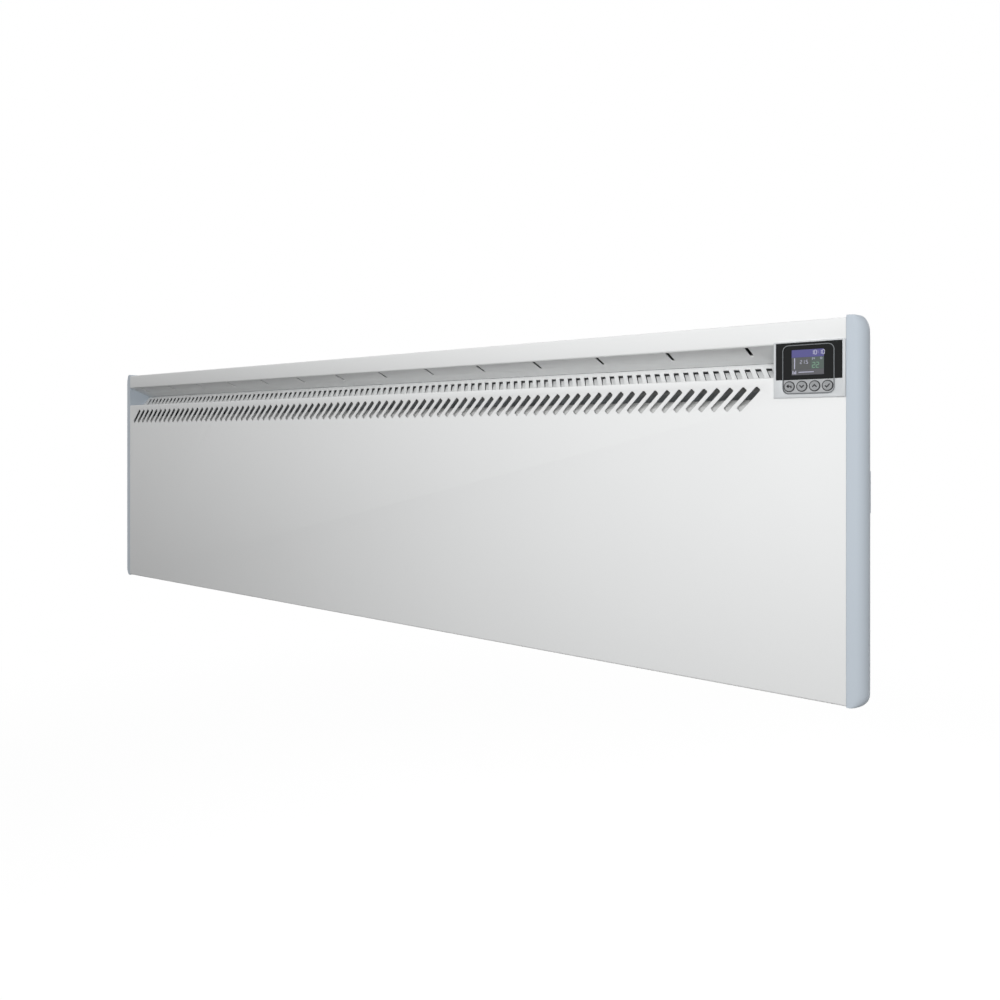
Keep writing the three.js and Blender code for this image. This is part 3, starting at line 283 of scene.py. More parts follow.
# Each finish: its plain colour, shader numbers, the effect on it and how strong that is. "shaded"
# paints shade: it gives the height in metres where the tone starts to fall, the one where it is
# down, and what is left of it there.
plainLook = {
    "metal": 0.0, "shine": 0.5, "effect": "grain", "bump": 0.05, "depth": 0.0002, "roughSpan": 0.1,
}
coatLook = {"rough": 0.6, "shine": 0.2, "scale": 1100.0, "tone": 0.02, "roughSpan": 0.08}
unitLook = {"scale": 2600.0, "depth": 0.0001}
screenLook = {
    "rough": 0.2, "shine": 0.22, "glow": 0.3, "effect": "dots", "scale": 9000.0, "tone": 0.08,
    "bump": 0.0, "depth": 0.0001, "roughSpan": 0.04,
}
finishes = {
    "powderCoat": {**coatLook, "colour": (237, 238, 238)},
    # painted shade: the outlet band is a little greyer than the coat, and darker below the shelf
    # where its flange shows through the tops of the front slots
    "bandCoat": {**coatLook, "colour": (228, 229, 229), "shaded": (0.0715, 0.067, 0.55)},
    # painted shade: the tabs are the same white coat, greyer for the shade they stand in
    "tabCoat": {**coatLook, "colour": (214, 215, 215)},
    # painted shade: the baffle behind the front slots is greyer than the coat and darker towards
    # its upper edge, where the slots look into shade
    "warmedCoat": {**coatLook, "colour": (214, 215, 214), "tone": 0.04,
                   "shaded": (0.03, 0.066, 0.62)},
    "capPlastic": {"colour": (193, 202, 211), "rough": 0.46, "scale": 1500.0, "tone": 0.03,
                   "bump": 0.08},
    "galvanised": {"colour": (178, 182, 185), "rough": 0.42, "metal": 0.75, "effect": "spangle",
                   "scale": 90.0, "tone": 0.22, "bump": 0.04, "roughSpan": 0.12},
    "aluminium": {"colour": (196, 198, 200), "rough": 0.36, "metal": 0.9, "effect": "streaks",
                  "scale": 700.0, "tone": 0.14, "roughSpan": 0.12},
    "plainSteel": {"colour": (150, 154, 158), "rough": 0.34, "metal": 0.95, "effect": "streaks",
                   "scale": 900.0, "tone": 0.16, "roughSpan": 0.12},
    "glazedCeramic": {"colour": (233, 227, 214), "rough": 0.3, "scale": 600.0, "tone": 0.04,
                      "roughSpan": 0.08},
    "silverPlastic": {**unitLook, "colour": (206, 209, 211), "rough": 0.34, "metal": 0.25,
                      "tone": 0.03, "bump": 0.06},
    "satinSilver": {**unitLook, "colour": (158, 160, 162), "rough": 0.28, "metal": 0.75,
                    "effect": "streaks", "tone": 0.1},
    "traySilver": {**unitLook, "colour": (178, 180, 182), "rough": 0.3, "metal": 0.6,
                   "effect": "streaks", "tone": 0.12},
    "trimLine": {**unitLook, "colour": (118, 121, 124), "rough": 0.34, "metal": 0.5,
                 "tone": 0.04, "bump": 0.04},
    "blackGlass": {"colour": (15, 17, 18), "rough": 0.06, "shine": 0.22, "scale": 300.0,
                   "tone": 0.05, "bump": 0.0, "depth": 0.0001, "roughSpan": 0.02},
    "circuitBoard": {"colour": (31, 90, 58), "rough": 0.45, "effect": "streaks", "scale": 350.0,
                     "tone": 0.3, "bump": 0.1},
    "darkPlastic": {"colour": (44, 45, 47), "rough": 0.48, "scale": 1600.0, "tone": 0.06,
                    "bump": 0.1, "roughSpan": 0.12},
    "whitePlastic": {"colour": (214, 217, 219), "rough": 0.44, "scale": 1500.0, "tone": 0.03,
                     "bump": 0.08},
    "screenBack": {**screenLook, "colour": (52, 52, 58)},
    "screenViolet": {**screenLook, "colour": (82, 80, 128), "glow": 0.38},
    "screenGrey": {**screenLook, "colour": (84, 85, 86)},
    "screenGreen": {**screenLook, "colour": (82, 92, 88)},
    "screenFoot": {**screenLook, "colour": (88, 88, 92)},
    "screenInk": {**screenLook, "colour": (168, 168, 186), "glow": 0.4, "tone": 0.05},
    "screenLeaf": {**screenLook, "colour": (112, 146, 126), "glow": 0.4, "tone": 0.05},
}


def makeFinish(name, own):
    look = {**plainLook, **own}
    material = bpy.data.materials.new(name)
    material.use_nodes = True
    tree = material.node_tree
    shader = tree.nodes["Principled BSDF"]
    shader.inputs["Metallic"].default_value = look["metal"]
    shader.inputs["Specular IOR Level"].default_value = look["shine"]
    effect = addNode(tree, "Group", node_tree=effects[look["effect"]])
    effect.inputs["Scale"].default_value = look["scale"]
    effect.inputs["Contrast"].default_value = look["tone"]
    tone, height = effect.outputs["Tone"], effect.outputs["Height"]
    # painted shade: the colour darkens with height as the finish's "shaded" gives
    if "shaded" in look:
        start, end, left = look["shaded"]
        place = addNode(tree, "TexCoord")
        split = addNode(tree, "SeparateXYZ", {0: place.outputs["Object"]})
        fade = addNode(tree, "MapRange", {
            "Value": split.outputs["Z"], "From Min": start, "From Max": end,
            "To Min": 1.0, "To Max": left,
        }, interpolation_type="SMOOTHSTEP")
        tone = addMath(tree, "MULTIPLY", fade.outputs["Result"], tone)
    colour = addNode(tree, "VectorMath", {0: linear(look["colour"]), "Scale": tone},
                     operation="SCALE")
    tree.links.new(colour.outputs[0], shader.inputs["Base Color"])
    if "glow" in look:
        tree.links.new(colour.outputs[0], shader.inputs["Emission Color"])
        shader.inputs["Emission Strength"].default_value = look["glow"]
    rough = addNode(tree, "MapRange", {
        "Value": height, "To Min": look["rough"] - look["roughSpan"] / 2,
        "To Max": look["rough"] + look["roughSpan"] / 2,
    })
    tree.links.new(rough.outputs["Result"], shader.inputs["Roughness"])
    if look["bump"] > 0:
        bump = addNode(tree, "Bump", {
            "Strength": look["bump"], "Distance": look["depth"], "Height": height,
        })
        tree.links.new(bump.outputs["Normal"], shader.inputs["Normal"])
    return material


paints = {name: makeFinish(name, look) for name, look in finishes.items()}
print("heater:", len(paints), "finishes made")

nodeFinishes = {
    "coat": "powderCoat", "galvanised": "galvanised", "cap_plastic": "capPlastic",
    "aluminium": "aluminium", "steel": "plainSteel", "ceramic": "glazedCeramic",
    "silver": "silverPlastic", "black_glass": "blackGlass", "board": "circuitBoard",
    "dark_plastic": "darkPlastic", "white_plastic": "whitePlastic", "lcd": "screenBack",
}
slotOf = {row["node"]: row["material_slot"] for row in frame["record"]["subparts"]}
for nodeName, node in frame["nodes"].items():
    node.data.materials.clear()
    node.data.materials.append(paints[nodeFinishes[slotOf[nodeName]]])


# Measures below are the maker's: x across from the middle, d back from the front face, z up from
# the panel's lower edge, in millimetres. toRow turns them into the frame.
halfWidth, wallPlane, upperRail, gap = 655.5, 92.0, 256.0, 0.3
quarterTurn, fullTurn = math.pi / 2, 2 * math.pi


def toRow(points):
    return (np.asarray(points, float) - (0, wallPlane, upperRail)) / 1000


def gridFaces(rows, columns, loopRows=False, loopColumns=False):
    # quads of a rows by columns grid of points, joined end to end where a direction loops
    i, j = np.meshgrid(np.arange(rows if loopRows else rows - 1),
                       np.arange(columns if loopColumns else columns - 1), indexing="ij")
    a, b = i * columns + j, i * columns + (j + 1) % columns
    up = ((i + 1) % rows) * columns
    return np.stack([a, b, up + (j + 1) % columns, up + j], -1).reshape(-1, 4)


def endFaces(rows, columns):
    # one face over the first row of a grid and one over its last
    return [list(range(columns)), list(range((rows - 1) * columns, rows * columns))]


def addPiece(name, points, faces, finish, body, sharp=35, merge=1e-6):
    mesh = bpy.data.meshes.new(name)
    corners = [list(map(int, face)) for face in faces]
    mesh.from_pydata(np.asarray(points, float).tolist(), [], corners)
    work = bmesh.new()
    work.from_mesh(mesh)
    bmesh.ops.remove_doubles(work, verts=work.verts, dist=merge)
    bmesh.ops.dissolve_degenerate(work, edges=work.edges, dist=merge)
    bmesh.ops.recalc_face_normals(work, faces=work.faces)
    work.to_mesh(mesh)
    work.free()
    mesh.shade_smooth()
    mesh.set_sharp_from_angle(angle=math.radians(sharp))
    piece = bpy.data.objects.new(name, mesh)
    scene.collection.objects.link(piece)
    mesh.materials.append(paints[finish])
    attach(piece, body)
    return piece


def lathe(profile, sides, place, back=True, closed=False):
    # a profile of (radius, depth) turned about the depth axis through place, or about x where back
    # is false; a closed profile runs back to its first point
    profile = np.asarray(profile, float)
    angle = np.linspace(0, fullTurn, sides, endpoint=False)
    across = profile[:, :1] * np.cos(angle)
    upward = profile[:, :1] * np.sin(angle)
    along = np.repeat(profile[:, 1:], sides, 1)
    axes = (across, along, upward) if back else (along, across, upward)
    points = np.stack(axes, -1).reshape(-1, 3) + place
    return points, gridFaces(len(profile), sides, loopRows=closed, loopColumns=True)


# A merged copy of a sheet or moulding whose outer edges get the small radius, in millimetres, that
# paint or a mould gives.
softened = {
    "front_panel": ("frontPanelCoated", 0.28), "top_hood": ("topHoodCoated", 0.3),
    "outlet_grille": ("outletBandCoated", 0.28), "front_baffle": ("baffleCoated", 0.2),
    "display_bezel": ("bezelMoulded", 0.45), "module_rim": ("moduleRimMoulded", 0.12),
    "button_tray": ("trayMoulded", 0.25), "display_window": ("windowGlass", 0.18),
    "control_housing": ("housingMoulded", 0.5), "back_panel": ("backPanelPressed", 0.3),
    "inlet_grille": ("inletGrillePressed", 0.3), "air_deflector": ("deflectorPressed", 0.2),
    "left_frame": ("leftFramePressed", 0.3), "right_frame": ("rightFramePressed", 0.3),
    "element_fins_1": ("finsExtruded1", 0.15), "element_fins_2": ("finsExtruded2", 0.15),
    "element_holder_1": ("holderPressed1", 0.3), "element_holder_2": ("holderPressed2", 0.3),
    "element_holder_3": ("holderPressed3", 0.3), "element_holder_4": ("holderPressed4", 0.3),
    "cutout_clip": ("cutoutClipPressed", 0.3), "board_carrier": ("carrierMoulded", 0.4),
    "terminal_block": ("terminalsMoulded", 0.4), "sensor_clip": ("sensorClipMoulded", 0.3),
    "cable_gland": ("glandMoulded", 0.6), "gland_nut": ("glandNutMoulded", 0.6),
    "bracket_rail_upper": ("upperRailPunched", 0.4),
    "bracket_rail_lower": ("lowerRailPunched", 0.4),
    "bracket_arm_left": ("leftArmPunched", 0.4), "bracket_arm_right": ("rightArmPunched", 0.4),
    "bracket_hook_left": ("leftHookFolded", 0.4), "bracket_hook_right": ("rightHookFolded", 0.4),
    "bracket_foot_left": ("leftFootFolded", 0.4), "bracket_foot_right": ("rightFootFolded", 0.4),
}
softening = {"merge": 2e-6, "flatAngle": 0.4, "edgeAngle": 50, "smoothAngle": 38, "segments": 2}
ownFinishes = {
    # the band's and the baffle's coats are greyer, and darker in parts: painted shade
    "button_tray": "traySilver", "front_baffle": "warmedCoat", "outlet_grille": "bandCoat",
    "module_rim": "trimLine",
}


def softenedCopy(nodeName, name, radius):
    source = frame["nodes"][nodeName]
    mesh = source.data.copy()
    mesh.name = name
    work = bmesh.new()
    work.from_mesh(mesh)
    bmesh.ops.remove_doubles(work, verts=work.verts, dist=softening["merge"])
    bmesh.ops.dissolve_limit(work, angle_limit=math.radians(softening["flatAngle"]),
                             verts=work.verts, edges=work.edges)
    angle = math.radians(softening["edgeAngle"])
    edges = [e for e in work.edges if len(e.link_faces) == 2 and e.calc_face_angle(0) > angle]
    bmesh.ops.bevel(work, geom=edges, offset=radius / 1000, segments=softening["segments"],
                    profile=0.5, affect="EDGES", clamp_overlap=True)
    bmesh.ops.triangulate(work, faces=[f for f in work.faces if len(f.verts) > 4])
    work.to_mesh(mesh)
    work.free()
    for extra in ("custom_normal", "sharp_edge", "sharp_face"):
        if extra in mesh.attributes:
            mesh.attributes.remove(mesh.attributes[extra])
    mesh.shade_smooth()
    mesh.set_sharp_from_angle(angle=math.radians(softening["smoothAngle"]))
    piece = bpy.data.objects.new(name, mesh)
    scene.collection.objects.link(piece)
    if nodeName in ownFinishes:
        mesh.materials[0] = paints[ownFinishes[nodeName]]
    body = source["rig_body"]
    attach(piece, body)
    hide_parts(nodeName)


for nodeName, (name, radius) in softened.items():
    softenedCopy(nodeName, name, radius)
print("heater:", len(softened), "sheets and mouldings softened")

# End caps. In plan: a flat strip, a round corner, a side that tapers back. Upwards the width
# narrows as an ellipse towards the foot and the top, and the two ends close with a small fillet.
capShape = {
    "width": 19.2, "flat": 6.6, "taper": 12.6, "rear": 7.2, "depth": 72.0, "low": -0.8,
    "high": 387.0, "topRound": 18.0, "topNarrow": 0.53, "footRound": 14.0, "footNarrow": 0.65,
    "fillet": 0.9, "filletSteps": 4, "filletDraw": 6, "edge": 0.25, "edgeCut": 0.3, "steps": 20,
    "rearRound": 2.2, "rearBulge": 0.2, "rearStride": 5, "seam": 0.1, "sharp": 32,
}
switchSeat = {"depth": 52.0, "height": 210.0, "width": 27.0, "tall": 35.0, "sink": 2.0}


def capLevels():
    # rows of (height, share of the width lost, inset of the fillet), upwards
    c = capShape
    turn = np.linspace(0, quarterTurn, c["steps"] + 1)
    none = np.zeros_like(turn)
    falling = turn[::-1]
    foot = np.stack([c["low"] + c["footRound"] * (1 - np.sin(falling)),
                     c["footNarrow"] * (1 - np.cos(falling)), none], -1)
    top = np.stack([c["high"] - c["topRound"] * (1 - np.sin(turn)),
                    c["topNarrow"] * (1 - np.cos(turn)), none], -1)
    middle = switchSeat["height"] + np.array([-1, 1]) * switchSeat["tall"] / 2
    sides = np.stack([middle, np.zeros(2), np.zeros(2)], -1)
    count = c["filletSteps"]
    inset = c["fillet"] * (1 - np.cos(np.linspace(0, quarterTurn, count + 1)[1:]))
    crown = np.stack([np.full(count, c["high"]), np.full(count, c["topNarrow"]), inset], -1)
    base = np.stack([np.full(count, c["low"]), np.full(count, c["footNarrow"]), inset], -1)
    return np.concatenate([base[::-1], foot, sides, top, crown])


def capPlan():
    # points of (outwards, depth) round the plan, and the place of the side's first point
    c = capShape
    turn = np.linspace(0, quarterTurn, c["steps"] + 1)
    inner, edge, cut = c["seam"] - gap, c["edge"], c["edge"] * c["edgeCut"]
    front = np.array([[inner, edge], [inner + cut, cut], [inner + edge, 0], [c["flat"] / 2, 0]])
    corner = np.stack([c["flat"] + (c["width"] - c["flat"]) * np.sin(turn),
                       c["taper"] * (1 - np.cos(turn))], -1)
    slope = (c["width"] - c["rear"]) / (c["depth"] - c["taper"])
    across = switchSeat["width"] / 2 * math.cos(math.atan(slope))
    stops = switchSeat["depth"] + np.array([-across, across])
    side = np.stack([c["width"] - (stops - c["taper"]) * slope, stops], -1)
    r, few = c["rearRound"], turn[::c["rearStride"]]
    rear = np.stack([c["rear"] + c["rearBulge"] * r - r * (1 - np.cos(few)),
                     c["depth"] - r + r * np.sin(few)], -1)
    back = np.array([[edge, c["depth"]], [0, c["depth"] - edge], [0, stops[1]], [0, stops[0]]])
    return np.concatenate([front, corner, side, rear, back]), len(front) + len(corner)


def makeCap(side, name, nodeName, pierced):
    # the plan at every level, narrowed by the level's share and drawn in by its fillet; a pierced
    # cap has a port through its side where the mains switch sits
    plan, first = capPlan()
    levels = capLevels()
    z, narrowing, inset = (levels[:, k][:, None] for k in range(3))
    full = plan[:, 0][None, :]
    across = full * (1 - narrowing) * (1 - inset / capShape["filletDraw"])
    depth = inset + plan[:, 1][None, :] * (1 - 2 * inset / capShape["depth"])
    points = np.stack(np.broadcast_arrays(side * (halfWidth + gap + across), depth, z), -1)
    rows, columns = len(levels), len(plan)
    faces = gridFaces(rows, columns, loopColumns=True).tolist()
    if pierced:
        sill = switchSeat["height"] - switchSeat["tall"] / 2
        start = int(np.argmin(abs(levels[:, 0] - sill))) * columns
        hole = {start + first, start + columns - 2}
        faces = [face for face in faces if face[0] not in hole]
        outer = [start + first, start + first + 1]
        inner = [start + columns - 1, start + columns - 2]
        outer += [outer[1] + columns, outer[0] + columns]
        inner += [inner[1] + columns, inner[0] + columns]
        faces += [[outer[k], outer[(k + 1) % 4], inner[(k + 1) % 4], inner[k]] for k in range(4)]
    faces += endFaces(rows, columns)
    piece = addPiece(name, toRow(points.reshape(-1, 3)), faces, "capPlastic", "heater",
                     sharp=capShape["sharp"])
    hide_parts(nodeName)


makeCap(-1, "leftCapMoulded", "left_cap", False)
makeCap(1, "rightCapMoulded", "right_cap", True)
print("heater: end caps made")

# Tabs of the outlet band: each opening keeps its metal, hinged at the foot and pressed inwards, so
# that air leaves over its top and past its left edge.
tabShape = {
    "pitch": 12.0, "width": 6.4, "shift": 7.8, "end": 8.0, "foot": 2.4, "top": 6.6, "last": 566.4,
    "front": (25.0, 328.1), "back": (41.0, 346.3), "thick": 0.9, "lean": 3.6, "sunk": 0.12,
    "leftGap": 1.0, "topGap": 0.8, "footGap": 0.05, "side": 0.08,
}


def makeTabs():
    # each tab is a leaning parallelogram on the band, pushed in by a share of its height
    t = tabShape
    run = np.subtract(t["back"], t["front"])
    length = np.hypot(*run)
    up, into = run / length, np.array([run[1], -run[0]]) / length
    starts = np.arange(t["end"] - halfWidth, t["last"], t["pitch"])
    low, high = t["foot"] + t["footGap"], length - t["top"] - t["topGap"]
    rise = np.array([low, low, high, high])
    share = np.array([0.0, 0.0, 1.0, 1.0])
    hang = (length - t["top"] - rise) / (length - t["top"] - t["foot"])
    left, right = t["leftGap"], t["width"] - t["side"]
    across = t["shift"] * hang + np.array([left, right, right, left])
    depth = share * t["lean"] + t["sunk"]
    depth = np.stack([depth, depth + t["thick"]])
    place = np.array(t["front"]) + rise[None, :, None] * up + depth[..., None] * into
    across = np.broadcast_to(across[None, :, None], (2, 4, 1))
    one = np.concatenate([across, place], -1).reshape(8, 3)
    points = one[None] + np.stack([starts, starts * 0, starts * 0], -1)[:, None]
    box = np.array([(0, 1, 2, 3), (4, 7, 6, 5), (0, 4, 5, 1), (1, 5, 6, 2), (2, 6, 7, 3),
                    (3, 7, 4, 0)])
    faces = (box[None] + 8 * np.arange(len(starts))[:, None, None]).reshape(-1, 4)
    points = toRow(points.reshape(-1, 3))
    # the tabs take the greyer coat that paints their shade
    addPiece("outletTabs", points, faces, "tabCoat", "heater", merge=1e-7)


makeTabs()
print("heater: outlet tabs made")

# Push buttons: a turned cap with a rounded rim and a shallow dish, and a raised mark on each.
buttonShape = {
    "first": halfWidth - 54.45, "pitch": 12.5, "height": 317.9, "front": -2.9, "radius": 4.7,
    "collar": 5.5, "collarDepth": 0.9, "collarThick": 0.8, "stem": 1.8, "end": 5.0, "rim": 0.55,
    "dish": 0.35, "dishEdge": 1.5, "dishPoints": 9, "rimSteps": 6, "sides": 56,
    "markHeight": 0.16, "markWidth": 1.15, "markSink": 0.55, "markRoot": 0.2,
}


def buttonProfile():
    # (radius, depth): a parabola for the dish, a quarter circle for the rim, then collar and stem
    b = buttonShape
    dish = np.linspace(0, 1, b["dishPoints"])
    face = np.stack([(b["radius"] - b["dishEdge"] * b["rim"]) * dish,
                     b["front"] + b["dish"] * (1 - dish ** 2)], -1)
    turn = np.linspace(0, quarterTurn, b["rimSteps"] + 1)[1:]
    rim = np.stack([b["radius"] - b["rim"] + b["rim"] * np.sin(turn),
                    b["front"] + b["rim"] * (1 - np.cos(turn))], -1)
    collarEnd = b["collarDepth"] + b["collarThick"]
    rest = np.array([[b["radius"], b["collarDepth"]], [b["collar"], b["collarDepth"]],
                     [b["collar"], collarEnd], [b["stem"], collarEnd], [b["stem"], b["end"]],
                     [0, b["end"]]])
    return np.concatenate([face, rim, rest])


def buttonPlace(number):
    return buttonShape["first"] + (number - 1) * buttonShape["pitch"], 0, buttonShape["height"]


# Marks as open lines of (across, up) in millimetres: back arrow, down, up, confirm.
buttonMarks = {
    1: [[(2.0, -1.6), (2.0, 0.4), (-1.9, 0.4)], [(-0.4, 1.9), (-2.0, 0.4), (-0.4, -1.1)]],
    2: [[(-2.1, 1.0), (0, -1.1), (2.1, 1.0)]],
    3: [[(-2.1, -1.0), (0, 1.1), (2.1, -1.0)]],
    4: [[(-2.2, 0.0), (-0.7, -1.6), (2.3, 1.6)]],
}


def ribbon(line, width):
    # a band of even width along an open line, mitred at its corners: left and right rows of points
    line = np.asarray(line, float)
    steps = np.diff(line, axis=0)
    sides = np.stack([-steps[:, 1], steps[:, 0]], -1) / np.linalg.norm(steps, axis=1)[:, None]
    before = np.concatenate([sides[:1], sides])
    after = np.concatenate([sides, sides[-1:]])
    reach = (before + after) / (1 + (before * after).sum(1))[:, None] * width / 2
    return np.stack([line + reach, line - reach], 1)


def raisedBand(bands, top, foot, place=(0, 0)):
    # each band as a closed low bar from depth foot to depth top, standing on place (x, z)
    points, faces, count = [], [], 0
    for band in bands:
        flat = band.reshape(-1, 2) + place
        n = len(band)
        points += [np.insert(flat, 1, top, axis=1), np.insert(flat, 1, foot, axis=1)]
        k = np.arange(n - 1)[:, None] * 2 + count
        for quad in ([0, 1, 3, 2], [2 * n, 2 * n + 2, 2 * n + 3, 2 * n + 1],
                     [0, 2, 2 + 2 * n, 2 * n], [1, 1 + 2 * n, 3 + 2 * n, 3]):
            faces += (k + quad).tolist()
        faces += [[count, 2 * n + count, 2 * n + 1 + count, 1 + count]]
        last = count + 2 * n - 2
        faces += [[last, last + 1, last + 1 + 2 * n, last + 2 * n]]
        count += 4 * n
    return np.concatenate(points), faces


def makeButtons():
    b = buttonShape
    profile = buttonProfile()
    top = b["front"] + b["dish"] * b["markSink"] - b["markHeight"]
    root = b["front"] + b["dish"] + b["markRoot"]
    for number, lines in buttonMarks.items():
        place, body = buttonPlace(number), f"button_{number}_body"
        points, faces = lathe(profile, b["sides"], place)
        button = addPiece(f"pushButton{number}", toRow(points), faces, "satinSilver", body)
        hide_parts(f"button_{number}")
        bands = [ribbon(line, b["markWidth"]) for line in lines]
        points, faces = raisedBand(bands, top, root, (place[0], place[2]))
        addPiece(f"buttonMark{number}", toRow(points), faces, "darkPlastic", body)


makeButtons()
print("heater: push buttons made")

# Dark ring round each push button, standing a hair off the tray: painted shade for the
# shadowed gap between button and tray.
gapShadeShape = {
    "inner": 4.78, "outer": 5.6, "front": -1.78, "back": -1.4, "slope": (0.08, 0.06), "sides": 48,
}


def makeGapShades():
    # a flat ring with its edges taken off by a short slope
    q = gapShadeShape
    inwards, down = q["slope"]
    profile = [(q["inner"], q["back"]), (q["inner"], q["front"] + down),
               (q["inner"] + inwards, q["front"]), (q["outer"] - inwards, q["front"]),
               (q["outer"], q["front"] + down), (q["outer"], q["back"])]
    for number in buttonMarks:
        points, faces = lathe(profile, q["sides"], buttonPlace(number), closed=True)
        # a ring of dark plastic that paints the gap's shade
        addPiece(f"buttonSeal{number}", toRow(points), faces, "darkPlastic", "heater")


makeGapShades()
print("heater: button gapShades made")

# Pale lip that closes the joint between the bezel and the right cap.
lipShape = {
    "across": halfWidth - 0.09, "low": 306.8, "high": 363.6, "front": -1.1, "back": 0.6,
    "width": 0.3,
}


def uprightBar(across, q, width):
    # points and faces of a bar at one place across, from low to high and from front to back
    line = [(across, q["low"]), (across, q["high"])]
    points, faces = raisedBand([ribbon(line, width)], q["front"], q["back"])
    return toRow(points), faces


def makeLip():
    points, faces = uprightBar(lipShape["across"], lipShape, lipShape["width"])
    addPiece("bezelLip", points, faces, "silverPlastic", "heater")


makeLip()
print("heater: bezel lip made")

# Rear flange of each end cap: it reaches in to the back panel's edge.
flangeShape = {
    "inner": 5.4, "outer": 0.4, "low": 1.0, "high": 384.0, "front": 70.8, "back": 72.0,
}


def makeFlanges():
    # an upright strip behind the joint of casing and cap
    q = flangeShape
    middle = halfWidth + (q["outer"] - q["inner"]) / 2
    for side, name in ((-1, "leftCapFlange"), (1, "rightCapFlange")):
        points, faces = uprightBar(side * middle, q, q["outer"] + q["inner"])
        addPiece(name, points, faces, "capPlastic", "heater")


makeFlanges()
print("heater: cap flanges made")

# Lit screen: coloured fields, bars and figures as thin plates on the glass, in millimetres from
# its lower left corner. Fields and bars are (left, right, low, high), figures are (text, left,
# low, height, stroke), and the dial is (across, up, radius, stroke).
screenShape = {
    "left": halfWidth - 52.2, "low": 329.2, "face": -1.6, "plate": 0.03, "plateRoot": -0.02,
    "mark": 0.06, "dial": (29.2, 16.4, 0.85, 0.36), "dialPoints": 17,
}
screenFields = [
    ("screenHeader", "screenViolet", (0.2, 31.7, 18.2, 25.8)),
    ("screenFieldLeft", "screenGrey", (0.2, 18.6, 5.9, 18.1)),
    ("screenFieldRight", "screenGreen", (18.7, 31.7, 5.9, 18.1)),
    ("screenFooter", "screenFoot", (0.2, 31.7, 0.3, 5.8)),
]
screenBars = [
    (2.6, 3.5, 6.4, 17.4), (1.0, 1.8, 1.2, 4.6), (2.4, 3.2, 1.2, 3.6), (3.8, 4.6, 1.2, 4.6),
    (7.0, 22.0, 2.6, 3.4),
]
screenFigures = [
    ("10:10", 19.6, 20.6, 4.0, 0.62), ("21.5", 8.6, 11.6, 3.4, 0.42), ("24", 20.4, 15.5, 1.8, 0.3),
]
targetFigures = ("22", 20.6, 7.2, 5.2, 0.6)
segmentLines = {
    "a": ((0, 2), (1, 2)), "b": ((1, 2), (1, 1)), "c": ((1, 1), (1, 0)), "d": ((0, 0), (1, 0)),
    "e": ((0, 0), (0, 1)), "f": ((0, 1), (0, 2)), "g": ((0, 1), (1, 1)),
}
figureSegments = {"0": "abcdef", "1": "bc", "2": "abged", "4": "fgbc", "5": "afgcd"}
dotHeights = {":": (0.3, 0.7), ".": (0.04,)}
figureShape = {"width": 0.48, "barShare": 0.86, "figureGap": 1.9, "dotStep": 2.4}


def figureBands(text, left, low, height, stroke):
    # seven-bar figures: each bar a straight ribbon that stops a little short of its neighbours
    f = figureShape
    bands = []
    width = height * f["width"]
    for character in text:
        if character in figureSegments:
            for segment in figureSegments[character]:
                ends = np.array(segmentLines[segment], float)
                middle = ends.mean(0)
                ends = middle + (ends - middle) * f["barShare"]
                bands.append(ribbon(ends * (width, height / 2) + (left, low), stroke))
            left += width + stroke * f["figureGap"]
        else:
            levels = [low + height * share for share in dotHeights[character]]
            bands += [ribbon([(left, level), (left + stroke, level)], stroke) for level in levels]
            left += stroke * f["dotStep"]
    return bands


def screenPiece(name, finish, bands, top, foot):
    s = screenShape
    points, faces = raisedBand(bands, s["face"] - top, s["face"] - foot, (s["left"], s["low"]))
    addPiece(name, toRow(points), faces, finish, "heater", merge=1e-8)


def boxBand(left, right, low, high):
    middle = (low + high) / 2
    return ribbon([(left, middle), (right, middle)], high - low)


def makeScreen():
    s = screenShape
    for name, finish, box in screenFields:
        screenPiece(name, finish, [boxBand(*box)], s["plate"], s["plateRoot"])
    across, up, radius, stroke = s["dial"]
    turn = np.linspace(0, fullTurn, s["dialPoints"])
    dial = np.stack([across + radius * np.cos(turn), up + radius * np.sin(turn)], -1)
    ink = [band for figures in screenFigures for band in figureBands(*figures)]
    ink += [ribbon(dial, stroke)] + [boxBand(*box) for box in screenBars]
    screenPiece("screenFigures", "screenInk", ink, s["mark"], 0.0)
    screenPiece("screenTarget", "screenLeaf", figureBands(*targetFigures), s["mark"], 0.0)


makeScreen()
print("heater: screen lit")

# Mains switch, drawn in the frame of its seat: out of the cap's side, along it, up.
switchShape = {
    "rimHalf": (17.0, 21.0), "rimTop": 2.5, "rimFoot": 1.8, "wall": 2.4, "seatHalf": (12.8, 16.8),
    "portHalf": (9.8, 13.8), "frameHalf": (12.5, 16.5), "frameTop": 1.5, "bodyHalf": (9.5, 13.5),
    "bodyEnd": -12.0, "wellHalf": (7.3, 11.3), "wellFloor": -9.6, "pivot": 3.0, "tilt": 6.0,
    "paddleHalf": (7.0, 10.3), "crest": 4.8, "valley": 3.5, "crestAt": 9.7,
    "crestRound": (1.0, 0.6), "flank": ((-1.0, 8.8), (-3.0, 3.0)), "facePoints": 25,
    "paddleEdge": ((0.5, 0.0), (0.15, 0.12), (0.0, 0.5)), "paddleSharp": 40,
    "markUp": 5.2, "markProud": 0.12, "markRoot": 0.2, "markWidth": 0.7, "barHalf": 1.6,
    "ringHalf": (1.3, 1.6), "barPoints": 5, "ringPoints": 25,
}


def onSeat(points):
    # turned by the slope of the cap's side and set at the middle of the seat
    c, seat = capShape, switchSeat
    slope = math.atan2(c["width"] - c["rear"], c["depth"] - c["taper"])
    reach = c["width"] - (seat["depth"] - c["taper"]) * math.tan(slope)
    reach -= seat["sink"] * math.cos(slope)
    out, along, up = np.asarray(points, float).T
    x = halfWidth + gap + reach + out * math.cos(slope) - along * math.sin(slope)
    d = seat["depth"] + (out - seat["sink"]) * math.sin(slope) + along * math.cos(slope)
    return np.stack([x, d, seat["height"] + up], -1)


